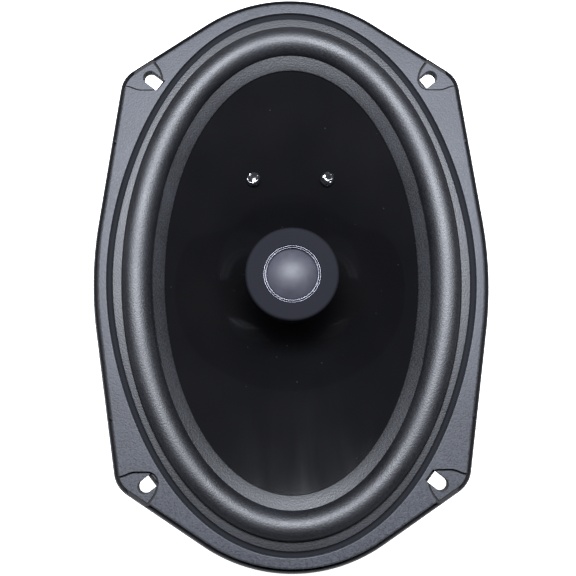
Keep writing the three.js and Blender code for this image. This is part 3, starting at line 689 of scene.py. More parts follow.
def moulded():
    """Basket plastic: speckled bluish grey on the face of the flange, duller below it, where its colour is
    darker and browner: painted shade and a painted brown reflection.
    """
    n = Nodes("moulded_black").set(specular=0.42)
    tone = n.noise(22, 3)
    fine = n.noise(0.65, 2, 0.6)
    shade = n.math("ADD", n.math("MULTIPLY", tone, 0.2), n.math("MULTIPLY", fine, 0.8))
    face = n.mix(n.range(shade, 0, 1), (0.002, 0.0022, 0.0029), (0.029, 0.031, 0.039))
    # painted shade and painted brown reflection: everything below the pocket floor is coloured darker and
    # browner than the face
    below = n.mix(n.range(tone, 0, 1), (0.0050, 0.0042, 0.0036), (0.0080, 0.0068, 0.0060))
    low, high = (FLANGE_FRONT - POCKET_DEPTH - 0.3) * MM, (FLANGE_FRONT - POCKET_DEPTH - 0.05) * MM
    height = n.range(n.axis("Z"), 0, 1, low, high)
    gloss = n.range(fine, 0.46, 0.66)
    rough = n.math("ADD", n.math("MULTIPLY", gloss, height), n.range(height, 0.85, 0, 0, 1))
    return n.finish(n.mix(height, below, face), rough, n.bump(fine, 0.10))


def metal(name, color, rough, scratch=0.12, tarnish=None, round_axis=False, depth=0.004):
    """Metal with fine marks, either round the axis or in every direction, and a little tarnish."""
    n = Nodes(name).set(metallic=1.0)
    cloud = n.noise(7, 4, 0.6)
    if round_axis:
        marks = n.node("ShaderNodeTexNoise", noise_dimensions="1D")
        marks.inputs["Scale"].default_value = 1
        marks.inputs["Detail"].default_value = 3
        n.link(n.math("MULTIPLY", n.radius(), 1 / (scratch * MM)), marks.inputs["W"])
        height = marks.outputs["Fac"]
    else:
        height = n.noise(scratch, 3, 0.7)
    shade = n.mix(n.range(cloud, 0, 1, 0.35, 0.7), color, tarnish or tuple(c * 0.8 for c in color))
    gloss = n.range(n.math("ADD", n.math("MULTIPLY", cloud, 0.5), n.math("MULTIPLY", height, 0.5)),
                    rough[0], rough[1])
    return n.finish(shade, gloss, n.bump(height, depth))


def woven(name, dark, light, pitch, depth, rough=0.8, **values):
    """Plain weave of two threads crossing along X and Y."""
    n = Nodes(name).set(roughness=rough, **values)
    wave = []
    for axis in ("X", "Y"):
        turn = n.math("MULTIPLY", n.axis(axis), 2 * math.pi / (pitch * MM))
        wave.append(n.math("SINE", turn))
    over = n.math("MULTIPLY", wave[0], wave[1])
    threads = n.math("MAXIMUM", n.math("ABSOLUTE", wave[0]), n.math("ABSOLUTE", wave[1]))
    height = n.math("ADD", n.math("MULTIPLY", over, 0.35), n.math("MULTIPLY", threads, 0.65))
    fuzz = n.noise(pitch * 0.3, 2)
    color = n.mix(n.range(n.math("ADD", height, n.math("MULTIPLY", fuzz, 0.5)), 0, 1, 0.1, 1.2), dark, light)
    return n.finish(color, None, n.bump(height, depth))


def cone_gloss():
    """Black film, mirror smooth, with faint wipe marks and a few specks of dust."""
    n = Nodes("cone_gloss").set(specular=0.22, coat=0.08, coat_roughness=0.05)
    stretched = n.node("ShaderNodeMapping")
    stretched.inputs["Scale"].default_value = (1, 0.12, 0.3)
    stretched.inputs["Rotation"].default_value = (0, 0, 0.25)
    n.link(n.place, stretched.inputs["Vector"])
    wipes = n.noise(9, 3, 0.55, stretched.outputs[0])
    cloud = n.noise(45, 2)
    dust = n.range(n.cells(7.5), 1, 0, 0.0, 0.045)
    tone = n.mix(n.range(cloud, 0, 1), (0.0022, 0.0022, 0.0025), (0.0036, 0.0035, 0.0038))
    color = n.mix(n.math("MULTIPLY", dust, 0.06), tone, (0.35, 0.36, 0.38))
    gloss = n.range(wipes, 0.09, 0.13, 0.35, 0.7)
    return n.finish(color, gloss, n.bump(n.noise(30, 1), 0.02))


def dome_silk():
    """Coated cloth of the tweeter's dome: satin, with a very fine weave."""
    n = Nodes("dome_silk").set(specular=0.30)
    weave = []
    for axis in ("X", "Y"):
        weave.append(n.math("SINE", n.math("MULTIPLY", n.axis(axis), 2 * math.pi / (0.28 * MM))))
    height = n.math("MULTIPLY", weave[0], weave[1])
    cloud = n.noise(3, 2)
    color = n.mix(n.range(cloud, 0, 1), (0.020, 0.0195, 0.026), (0.024, 0.0235, 0.031))
    return n.finish(color, n.range(cloud, 0.46, 0.54), n.bump(height, 0.006))


def ferrite():
    """Sintered ferrite: near black, pitted, with small lighter chips."""
    n = Nodes("ferrite").set(specular=0.5)
    cloud = n.noise(9, 4, 0.6)
    pits = n.range(n.cells(1.6), 0, 1, 0.0, 0.5)
    color = n.mix(n.range(cloud, 0, 1, 0.35, 0.7), (0.022, 0.022, 0.024), (0.045, 0.044, 0.046))
    relief = n.bump(n.math("ADD", n.math("MULTIPLY", pits, 0.5), n.noise(0.5, 3)), 0.03)
    return n.finish(color, n.range(cloud, 0.5, 0.75), relief)


def copper_winding():
    """Enamelled copper, its turns a little uneven in tone."""
    n = Nodes("copper_wire").set(metallic=1.0, coat=0.6, coat_roughness=0.15)
    turns = n.node("ShaderNodeTexNoise", noise_dimensions="1D")
    turns.inputs["Scale"].default_value = 1
    n.link(n.math("MULTIPLY", n.axis("Z"), 1 / (0.24 * MM)), turns.inputs["W"])
    color = n.mix(turns.outputs["Fac"], (0.42, 0.13, 0.055), (0.60, 0.24, 0.11))
    return n.finish(color, n.range(n.noise(2, 2), 0.28, 0.42))


# near-black matt fill: glue in the flange groove, and painted shade there and in the trim ring's gap
SEALANT_AND_PAINTED_SHADE = grained("sealant_and_painted_shade_black", (0.0050, 0.0054, 0.0066), (0.0068, 0.0072, 0.0088),
                  (0.80, 0.92), 0.8, 0.02, specular=0.10)
MOULDED = moulded()
RUBBER_MATERIAL = grained("rubber_black", (0.001, 0.0011, 0.0014), (0.0085, 0.0090, 0.0112),
                          (0.40, 0.54), 0.65, 0.10, speckle=0.7, specular=0.39)
CONE_MATERIAL = cone_gloss()
CEMENT = grained("cement_black", (0.006, 0.006, 0.007), (0.010, 0.010, 0.011), (0.06, 0.14), 2.5, 0.12,
                 coat=1.0, coat_roughness=0.05)
FERRITE = ferrite()
ZINC = metal("zinc_plate", (0.62, 0.63, 0.64), (0.24, 0.40), scratch=0.35, round_axis=True,
             tarnish=(0.52, 0.50, 0.42), depth=0.006)
SCREW_STEEL = metal("screw_steel", (0.50, 0.49, 0.44), (0.26, 0.42), scratch=0.2)
FOIL = metal("aluminium_foil", (0.72, 0.72, 0.74), (0.25, 0.40), scratch=0.3)
COPPER = copper_winding()
CLOTH = woven("spider_cloth", (0.20, 0.115, 0.035), (0.42, 0.27, 0.10), 0.9, 0.16, rough=0.75, sheen=0.3)
NYLON = grained("nylon_black", (0.016, 0.016, 0.017), (0.026, 0.026, 0.028), (0.38, 0.52), 0.8, 0.02)
BRASS = metal("brass_tab", (0.66, 0.50, 0.24), (0.22, 0.38), scratch=0.25, tarnish=(0.48, 0.34, 0.16))
SLEEVE = grained("capacitor_sleeve", (0.010, 0.022, 0.11), (0.016, 0.032, 0.15),
                 (0.22, 0.34), 2.0, 0.02, cloud=6.0)
TINNED = metal("tinned_lead", (0.68, 0.66, 0.62), (0.26, 0.42), scratch=0.12, tarnish=(0.52, 0.46, 0.38))
WIRE_RED = grained("wire_red", (0.30, 0.012, 0.010), (0.38, 0.018, 0.014), (0.34, 0.46), 1.2, 0.02, cloud=8.0)
WIRE_BLACK = grained("wire_black", (0.012, 0.012, 0.013), (0.020, 0.020, 0.021),
                     (0.34, 0.46), 1.2, 0.02, cloud=8.0)
SHELL = grained("tweeter_shell", (0.0032, 0.0033, 0.0050), (0.0042, 0.0043, 0.0064),
                (0.74, 0.84), 0.35, 0.012, cloud=9.0, specular=0.10)
TRIM = metal("trim_ring", (0.15, 0.15, 0.17), (0.34, 0.44), scratch=0.1)
NEODYMIUM = metal("neodymium", (0.74, 0.73, 0.72), (0.14, 0.24), scratch=0.4)
SILK = dome_silk()


# ---------- basket ----------

def flange_ring():
    """Flange, ledge and rim in one section carried round the outline, with a shadow gap above the skirt."""
    wall = FLANGE_DRAFT + PLATE
    under = FLANGE_FRONT - PLATE
    gap_floor, skirt_top = FLANGE_FRONT - 4.6, FLANGE_FRONT - 1.3
    sections = [
        (outline_at(0, FLANGE_REAR), 0.3),
        (outline_at(1.05, skirt_top), 0.15),
        (outline_at(1.35, skirt_top), 0.12),
        (outline_at(1.5, gap_floor), 0.2),
        (outline_at(FLANGE_DRAFT - 0.1, gap_floor), 0.2),
        (outline_at(FLANGE_DRAFT, FLANGE_FRONT), 0.9),
        (oval_at(FLANGE_INNER, FLANGE_FRONT, 0.15), 0.35),
        (oval_at(FLANGE_INNER, LEDGE_Z), 0.3),
        (oval_at(LEDGE_INNER, LEDGE_Z), 0.4),
        (oval_at(LEDGE_INNER, RIM_BOTTOM), 0.8),
        (oval_at(RIM_OUTER, RIM_BOTTOM), 0.8),
        (oval_at(RIM_OUTER, under - PLATE), 0.6),
        (oval_at(FLANGE_INNER, under - PLATE + 1, 1), 0.8),
        (outline_at(wall, under), 0.6),
        (outline_at(PLATE, FLANGE_REAR), 0.3),
    ]
    rows = rounded([s for s, _ in sections], [r for _, r in sections], 4)
    return loft("basket_shell", rows)


def ear_boss(sx, sy):
    """Filling under one ear, through which its screw passes."""
    top = FLANGE_FRONT - PLATE + 0.5
    round_part = pin("boss", BOSS_RADIUS, FLANGE_REAR, top, SLOT_X, SLOT_Y, 96)
    limit = prism("limit", outline(1.0), [(FLANGE_REAR - 1, 0), (top + 1, 0)])
    recess = prism("recess", oval_at(FLANGE_INNER, 0, 0.3)[:, :2], [(FLANGE_REAR - 2, 0), (top + 2, 0)])
    return mirror(cut(common(round_part, limit), recess), sx, sy)


def bezier(a, b, c, d, steps=24):
    t = np.linspace(0, 1, steps + 1)[:, None]
    a, b, c, d = (np.array(p, float) for p in (a, b, c, d))
    return (1 - t) ** 3 * a + 3 * (1 - t) ** 2 * t * b + 3 * (1 - t) * t ** 2 * c + t ** 3 * d


def pocket_outline():
    """Sunk pad: close about the slot, flaring out past the flange's two edges."""
    x, y, r = POCKET_X, POCKET_Y, POCKET_RADIUS
    low_side = bezier((x + 11, y - 2.9), (x + 8.5, y - 3), (x + 7, y - r - 0.3), (x + 3.5, y - r))
    angles = np.linspace(-math.pi / 2, -math.pi * 1.08, 48)
    bend = np.stack([x + r * np.cos(angles), y + r * np.sin(angles)], 1)
    high_side = bezier(bend[-1], (x - 4, y + 4), (x - 2.6, y + 6), (x - 0.3, y + 8.6))[1:]
    far = np.array([(x + 1, y + 30), (x + 30, y + 30), (x + 30, y - 3)])
    return np.concatenate([low_side, bend, high_side, far])[::-1]


def ear_pocket(sx, sy):
    """The pad, with a fine channel along the foot of its wall."""
    floor = FLANGE_FRONT - POCKET_DEPTH
    edge = pocket_outline()
    pad = prism("pad", edge, [(floor, 0), (FLANGE_FRONT - 0.25, 0.05), (FLANGE_FRONT + 0.3, 0.1)])
    channel = prism("channel", edge, [(floor - 0.9, 0), (floor + 0.1, 0)])
    middle = prism("middle", edge, [(floor - 1, -0.85), (floor + 1, -0.85)])
    return mirror(join(pad, cut(channel, middle)), sx, sy)


def slot_tool(sx, sy):
    """Screw slot, flat at its inner end and round at its outer end, with a lower step past the flat end."""
    half = SLOT_WIDTH / 2
    inner = SLOT_INNER_SHORT if sx == sy else SLOT_INNER_LONG
    angles = np.linspace(-math.pi / 2, math.pi / 2, 33)
    bend = np.stack([SLOT_OUTER - half + half * np.cos(angles), half * np.sin(angles)], 1)
    floor = FLANGE_FRONT - POCKET_DEPTH
    hole = prism("hole", np.concatenate([bend, [(-inner, half), (-inner, -half)]]),
                 [(FLANGE_REAR - 1, 0), (floor - 0.35, 0), (floor + 0.05, 0.3), (floor + 2, 0.3)])
    step = box_body("step", (-inner - STEP_LENGTH, -inner + 0.4), (-half, half),
                    (FLANGE_FRONT - STEP_DEPTH, floor + 2), 0.2)
    tool = join(hole, step)
    set_vertices(tool, vertices(tool) @ turn_about_z(SLOT_ANGLE))
    return mirror(shift(tool, SLOT_X, SLOT_Y), sx, sy)


def spoke_bodies(angle, width):
    """One arm from the foot up to the rim, with its stiffening rib behind it."""
    rim = oval_radius(RIM_OUTER, angle) - 0.3
    arm = [(ARM_FROM, 30.5), (ARM_FROM + 3, 31), (rim, RIM_BOTTOM + 0.5), (rim, ARM_TOP),
           (rim - ARM_THICKNESS, ARM_TOP), (ARM_FROM, 35)]
    rib = [(ARM_FROM, 29.5), (ARM_FROM + 5, 29.5), (rim, RIM_BOTTOM - 5), (rim, ARM_TOP),
           (rim - 2, ARM_TOP), (ARM_FROM, 34)]
    ribs = [0.0] if width < WIDE_SPOKE_WIDTH else [-width / 2 + 4, 0.0, width / 2 - 4]
    arms = [plate("arm", arm, width, 0.8, angle)]
    return arms + [plate("rib", rib, RIB_WIDTH, 0.5, angle, centre) for centre in ribs]


def terminal_arm():
    """Wide arm on the +Y side with the level shelf that carries the terminals."""
    angle = math.pi / 2
    rim = oval_radius(RIM_OUTER, angle) - 0.3
    arm = [(SHELF_TO - 2, SHELF_BOTTOM), (SHELF_TO + 1, SHELF_BOTTOM),
           (rim, RIM_BOTTOM + 0.5), (rim, ARM_TOP),
           (rim - ARM_THICKNESS, ARM_TOP), (SHELF_TO - 2, SHELF_TOP)]
    leg = [(ARM_FROM, 30), (SHELF_FROM, 30), (SHELF_FROM, SHELF_TOP), (ARM_FROM, SHELF_TOP)]
    half = SHELF_WIDTH / 2
    return [
        plate("arm", arm, WIDE_SPOKE_WIDTH, 0.6, angle),
        plate("leg", leg, WIDE_SPOKE_WIDTH, 0.5, angle),
        box_body("shelf", (-half, half), (SHELF_FROM - 4, SHELF_TO), (SHELF_BOTTOM, SHELF_TOP), 0.6),
    ]


def foot():
    """Ring at the bottom of the basket, with the wall and landing for the spider."""
    return turned("foot", [
        (FOOT_INNER, FOOT_BOTTOM), (FOOT_OUTER, FOOT_BOTTOM), (FOOT_OUTER, SPIDER_Z), (FOOT_LEDGE, SPIDER_Z),
        (FOOT_LEDGE, SPIDER_Z - FOOT_WALL), (FOOT_OUTER - FOOT_WALL, SPIDER_Z - FOOT_WALL),
        (FOOT_OUTER - FOOT_WALL, FOOT_TOP), (FOOT_INNER, FOOT_TOP),
    ], 0.5)


def flange_gussets():
    """Thin webs under the flange between its skirt and the rim."""
    made = []
    under = FLANGE_FRONT - PLATE + 0.4
    for degrees in GUSSET_ANGLES:
        angle = math.radians(degrees)
        nearest = np.argmin(np.abs(STATIONS - angle))
        outer = np.linalg.norm(outline(PLATE - 0.5)[nearest])
        rim = oval_radius(RIM_OUTER, angle) - 0.5
        recess = oval_radius(FLANGE_INNER, angle) + 0.8
        web = [(rim, 75.5), (outer - 1.5, FLANGE_REAR + 0.8), (outer, FLANGE_REAR + 1.2),
               (outer - 0.5, under), (recess, under), (recess, under - PLATE), (rim, under - PLATE - 1)]
        for turn in (angle, math.pi - angle, math.pi + angle, -angle):
            made.append(plate("gusset", web, 1.2, 0.15, turn))
    return made


def tab_openings():
    made = []
    for x, width in TABS.values():
        half = width / 2 + 0.1
        made.append(box_body("open", (x - half, x + half), (TAB_Y - 0.1, TAB_Y + TAB_THICKNESS + 0.1),
                             (TAB_HEIGHT - 0.1, 60), 0.02))
        made.append(box_body("open", (x - half, x + half), (TAB_Y - 0.1, TAB_OUTER),
                             (TAB_HEIGHT - 0.1, TAB_HEIGHT + TAB_THICKNESS + 0.1), 0.02))
    return made


def rivet_openings():
    return [pin("open", RIVET_SHANK + 0.1, BLOCK_BOTTOM - 1, SHELF_TOP + 1, x, BLOCK_Y, 24) for x in RIVET_XS]


def screw_places():
    return [(SCREW_RING * math.cos(a), SCREW_RING * math.sin(a)) for a in SCREW_ANGLES]


def basket():
    body = flange_ring()
    bosses = [ear_boss(sx, sy) for sx, sy in QUARTERS]
    arms = [b for angle in SPOKE_ANGLES for b in spoke_bodies(angle, SPOKE_WIDTH)]
    arms += spoke_bodies(-math.pi / 2, WIDE_SPOKE_WIDTH)
    join(body, *bosses, foot(), *arms, *terminal_arm(), *flange_gussets())
    cut(
        body,
        *[ear_pocket(sx, sy) for sx, sy in QUARTERS],
        *[slot_tool(sx, sy) for sx, sy in QUARTERS],
        *[pin("open", SCREW_SHANK + 0.3, FOOT_BOTTOM - 1, FOOT_TOP + 1, x, y) for x, y in screw_places()],
        *tab_openings(),
        *rivet_openings(),
    )
    finish_piece(body, MOULDED, "frame", ["basket"], 30)


def groove_sealant_and_painted_shade():
    """Matt black sealant in the groove between the flange and the surround's outer lip, so dark and matt that
    it is also painted shade in the groove.
    """
    sections = [
        oval_at(LIP_OUTER, LEDGE_Z + 0.05, 0.1), oval_at(FLANGE_INNER, LEDGE_Z + 0.05, -0.05),
        oval_at(FLANGE_INNER, LEDGE_Z + 0.9, -0.05), oval_at(FLANGE_INNER, LEDGE_Z + 0.45, -0.6),
        oval_at(between(LIP_OUTER, FLANGE_INNER, 0.5), LEDGE_Z + 0.3), oval_at(LIP_OUTER, LEDGE_Z + 0.4, 0.5),
        oval_at(LIP_OUTER, LEDGE_Z + 0.7, 0.1)]
    bead = loft("groove_sealant_and_painted_shade", rounded(sections, 0.5, 3))
    finish_piece(bead, SEALANT_AND_PAINTED_SHADE, "frame", (), 60)


# ---------- motor ----------

def motor():
    yoke = turned("yoke_body", [
        (POLE_BORE, 0), (YOKE_RADIUS - 1, 0), (YOKE_RADIUS, 1), (YOKE_RADIUS, YOKE_PLATE),
        (POLE_RADIUS, YOKE_PLATE), (POLE_RADIUS, POLE_TOP), (POLE_BORE, POLE_TOP)],
        [0.6, 0.3, 0.3, 0.4, 0.3, 0.5, 0.5])
    half = GROOVE_WIDTH / 2
    groove = box_body("groove", (-half, half), (0, YOKE_RADIUS + 1), (-1, GROOVE_DEPTH), 0.4)
    finish_piece(cut(yoke, groove), ZINC, "frame", ["t_yoke"], 30)
    magnet = turned("magnet_ring", [
        (MAGNET_INNER, MAGNET_BOTTOM), (MAGNET_RADIUS - 1, MAGNET_BOTTOM), (MAGNET_RADIUS, MAGNET_BOTTOM + 1),
        (MAGNET_RADIUS, MAGNET_TOP - 1), (MAGNET_RADIUS - 1, MAGNET_TOP), (MAGNET_INNER, MAGNET_TOP)], 0.25)
    finish_piece(magnet, FERRITE, "frame", ["magnet"])
    top = turned("top_plate_body", [
        (TOP_PLATE_INNER, MAGNET_TOP), (TOP_PLATE_RADIUS, MAGNET_TOP), (TOP_PLATE_RADIUS, TOP_PLATE_TOP),
        (TOP_PLATE_INNER, TOP_PLATE_TOP)], 0.5)
    holes = [pin("hole", SCREW_SHANK + 0.1, SCREW_BOTTOM - 0.5, TOP_PLATE_TOP + 1, x, y)
             for x, y in screw_places()]
    finish_piece(cut(top, *holes), ZINC, "frame", ["top_plate"], 30)


def basket_screw(number, x, y):
    """Pan-head screw with a cross recess."""
    head = FOOT_TOP
    top = head + SCREW_HEAD_HEIGHT
    body = turned_cap("screw", [
        (0, SCREW_BOTTOM), (SCREW_SHANK, SCREW_BOTTOM), (SCREW_SHANK, head), (SCREW_HEAD, head),
        (SCREW_HEAD, head + 1.0), (SCREW_HEAD * 0.78, top - 0.25), (0, top)], [0, 0.2, 0.1, 0.3, 0.5, 1.4, 0],
        4, 64)
    arms = [box_body("slot", (-2.1, 2.1), (-0.42, 0.42), (top - 1.5, top + 1), 0.1),
            box_body("slot", (-0.42, 0.42), (-2.1, 2.1), (top - 1.5, top + 1), 0.1)]
    body.name = f"basket_screw_{number}_body"
    shift(cut(body, *arms), x, y)
    finish_piece(body, SCREW_STEEL, "frame", [f"basket_screw_{number}"], 30)


# ---------- cone, coil and suspension ----------

def lead_place(side):
    x, y = side * LEAD_X, LEAD_Y
    return np.array([x, y, cone_height(x, y)]), cone_normal(x, y)


def along_normal(piece, side):
    place, normal = lead_place(side)
    turn = Vector((0, 0, 1)).rotation_difference(normal).to_matrix()
    set_vertices(piece, vertices(piece) @ np.array(turn).T)
    return shift(piece, *place)


def cone():
    """Oval cone, hollow like a bowl, with its edge under the surround."""
    angles = np.arange(360) * 2 * math.pi / 360
    shares = np.linspace(0, 1, 40)
    neck = (NECK_RADIUS, NECK_RADIUS, 0)

    def skin(drop):
        return [oval_at(between(neck, ROLL_INNER, s), cone_rise(s) - drop, angles=angles) for s in shares]

    body = loft("cone_body", skin(CONE_THICKNESS * 1.25) + skin(0)[::-1])
    holes = [along_normal(pin("hole", 1.6, -3, 3, 0, 0), side) for side in (-1, 1)]
    finish_piece(cut(body, *holes), CONE_MATERIAL, "woofer", ["cone"], 40)


def flatten_wet_top(body, side):
    """The cement ran level before it set: an uneven, slightly tilted flat on top of the blob."""
    co = vertices(body)
    place = lead_place(side)[0] * MM
    x, y = co[:, 0] - place[0], co[:, 1] - place[1]
    ripple = 0.06 * MM * np.sin(x / MM * 1.7 + 0.8) * np.cos(y / MM * 1.2 + 0.5 * side)
    level = place[2] + (2.0 + 0.2 * side) * MM - 0.06 * y + ripple
    co[:, 2] = np.minimum(co[:, 2], level)
    set_vertices(body, co)


def lead_joint(side, word):
    """Eyelet through the cone with the uneven blob of cement over the end of its lead."""
    body = turned_cap("joint", [
        (0, -3), (1.2, -3), (1.2, 0.4), (2.9, 0.3), (3.2, 0.8), (2.4, 1.9), (1.3, 2.4), (0, 2.5)],
        [0, 0.2, 0.1, 0.1, 0.4, 0.9, 0.9, 0], 5, 64)
    co = vertices(body)
    lump = np.sin(co[:, 0] / MM * 1.9 + side) * np.cos(co[:, 1] / MM * 1.6 + 0.7) * 0.28
    lump += np.sin(co[:, 0] / MM * 3.7 + 1.1) * np.sin(co[:, 1] / MM * 4.1 + side) * 0.12
    above = np.clip(co[:, 2] / MM / 2, 0, 1)
    co[:, 2] = np.minimum(co[:, 2] + lump * above * MM, 2.5 * MM)
    co[:, 1] *= 1 + 0.12 * np.sin(co[:, 0] / MM * 1.3 + side) * above
    set_vertices(body, co)
    body.name = f"lead_joint_{word}_blob"
    along_normal(body, side)
    flatten_wet_top(body, side)
    finish_piece(body, CEMENT, "woofer", [f"lead_joint_{word}"], 50)


def voice_coil():
    former = turned("former_sleeve", [
        (FORMER_RADIUS - FORMER_WALL, FORMER_BOTTOM), (FORMER_RADIUS, FORMER_BOTTOM),
        (FORMER_RADIUS, FORMER_TOP), (FORMER_RADIUS - FORMER_WALL, FORMER_TOP)], 0.05, 2)
    finish_piece(former, FOIL, "woofer", ["voice_coil_former"])
    pitch = (COIL_TOP - COIL_BOTTOM) / WINDING_TURNS
    inner = COIL_RADIUS - WINDING_THICKNESS
    profile = [(inner, COIL_TOP), (inner, COIL_BOTTOM)]
    for k in range(WINDING_TURNS):
        base = COIL_BOTTOM + k * pitch
        for share in (0.08, 0.3, 0.5, 0.7, 0.92):
            radius = COIL_RADIUS - WIRE_BULGE + WIRE_BULGE * math.sin(share * math.pi)
            profile.append((radius, base + share * pitch))
    coil = turned("winding", profile, 0.0, 1, 128)
    finish_piece(coil, COPPER, "woofer", ["voice_coil"], 60)


def glue_beads():
    """Beads of black glue where the cone and the spider meet the former."""
    neck = turned("cone_glue", [
        (FORMER_RADIUS + 0.02, NECK_Z + 0.6), (NECK_RADIUS + 1.0, NECK_Z + 1.4),
        (NECK_RADIUS + 1.1, NECK_Z + 1.9), (FORMER_RADIUS + 0.02, NECK_Z + 3.0)], 0.5, 5)
    finish_piece(neck, CEMENT, "woofer", (), 60)
    ring = turned("spider_glue", [
        (FORMER_RADIUS + 0.02, SPIDER_Z + 0.9), (SPIDER_INNER + 1.4, SPIDER_Z + 0.65),
        (SPIDER_INNER + 0.9, SPIDER_Z + 1.3), (FORMER_RADIUS + 0.02, SPIDER_Z + 2.4)], 0.4, 5)
    finish_piece(ring, CEMENT, "woofer", (), 60)


def blend_rows(piece):
    """Bakes the piece's placement into its vertices."""
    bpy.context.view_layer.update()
    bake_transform(piece)
    piece.data.update()


def ease(share):
    share = np.clip(share, 0, 1)
    return share * share * (3 - 2 * share)


def oval_share(co, inner, outer):
    """How far each point lies from the inner oval, 0, to the outer oval, 1."""
    angle = np.arctan2(co[:, 1], co[:, 0])
    radius = np.hypot(co[:, 0], co[:, 1]) / MM
    low, high = oval_radius(inner, angle), oval_radius(outer, angle)
    return np.clip((radius - low) / (high - low), 0, 1)


def surround():
    """Rubber half roll between the cone's edge and the ledge of the basket."""
    lip_z = CONE_EDGE_Z + 0.05 + LIP
    top_z = LEDGE_Z + LIP
    steps = 28

    def roll(lift, grow):
        rows = []
        for k in range(steps + 1):
            angle = math.pi * k / steps
            share = (1 - math.cos(angle)) / 2
            base = lip_z + (top_z - lip_z) * share
            oval = between(ROLL_INNER, ROLL_OUTER, 0.5 + (share - 0.5) * grow)
            rows.append(oval_at(oval, base + ROLL_HEIGHT * lift * math.sin(angle) ** 0.92))
        return rows

    edge = oval_radius(ROLL_INNER, STATIONS)
    width = edge - oval_radius(CONE_VISIBLE, STATIONS)
    drop = CONE_EDGE_Z - cone_rise((edge - width - NECK_RADIUS) / (edge - NECK_RADIUS))
    top = roll(1, 1)
    under = [row - [0, 0, LIP] for row in roll(1 - (RUBBER + 0.2) / ROLL_HEIGHT, 0.84)]
    inner_top = [oval_at(CONE_VISIBLE, lip_z - (drop + 0.4) * s, width * (1 - s)) for s in (0.08, 0.5, 0.95)]
    inner_top.append(oval_at(CONE_VISIBLE, lip_z - drop - 0.6))
    inner_under = [oval_at(CONE_VISIBLE, lip_z - drop - LIP + 0.1), oval_at(ROLL_INNER, lip_z - LIP + 0.1)]
    outer_top = [oval_at(LIP_OUTER, top_z - 0.35), oval_at(LIP_OUTER, top_z - 0.08, -0.15),
                 oval_at(LIP_OUTER, top_z, -0.4), oval_at(ROLL_OUTER, top_z, 0.3)]
    outer_under = [oval_at(LIP_OUTER, LEDGE_Z)]
    rows = under + outer_under + outer_top + top[::-1] + inner_top + inner_under
    body = loft("surround_roll", rows)
    share = oval_share(vertices(body), ROLL_INNER, ROLL_OUTER)
    finish_piece(body, RUBBER_MATERIAL, None, ["surround"], 50)
    blend_rows(body)


def spider():
    """Corrugated cloth disc that centres the voice coil."""
    start, stop = SPIDER_INNER + 3, FOOT_LEDGE
    steps = SPIDER_ROLLS * 16
    rows = []
    for lift, order in ((0.0, 1), (SPIDER_THICKNESS, -1)):
        row = [(SPIDER_INNER, SPIDER_Z + lift), (SPIDER_INNER + 1.5, SPIDER_Z + lift)]
        for k in range(steps + 1):
            share = k / steps
            fade = min(1.0, share * 8, (1 - share) * 8)
            wave = math.sin(share * SPIDER_ROLLS * 2 * math.pi) * SPIDER_HEIGHT * ease(fade)
            row.append((start + (stop - start) * share, SPIDER_Z + lift + wave))
        row += [(stop + 2, SPIDER_Z + lift), (SPIDER_RADIUS, SPIDER_Z + lift)]
        rows += row[::order]
    body = turned("spider_disc", rows, 0.0, 1, 180)
    finish_piece(body, CLOTH, None, ["spider"], 60)
    co = vertices(body)
    share = (np.hypot(co[:, 0], co[:, 1]) / MM - start) / (stop - start)
    blend_rows(body)


def tinsel_lead(side, word):
    """Braided lead from the solder tail of a terminal to the eyelet in the cone."""
    place, normal = lead_place(side)
    end = place - np.array(normal) * 3.4
    tab = TABS[word][0]
    points = [
        (tab, TAB_Y - 1, TAB_TOP - 1.2),
        (tab, TAB_Y - 3, TAB_TOP - 0.8),
        (tab + (end[0] - tab) * 0.3, TAB_Y - 8, TAB_TOP - 0.2),
        (tab + (end[0] - tab) * 0.75, end[1] + 3.5, TAB_TOP - 0.2),
        (end[0], end[1] - 0.6, end[2] - 1.6),
        tuple(end),
    ]
    path = smooth_path(points, 0.22)
    braid = strands("strand", path, LEAD_RADIUS, LEAD_STRANDS, STRAND_TURNS_PER_MM)
    body = gather(f"tinsel_lead_{word}_braid", braid)
    co = vertices(body) / MM
    finish_piece(body, TINNED, None, [f"tinsel_lead_{word}"], 60)
    blend_rows(body)


# ---------- terminals ----------

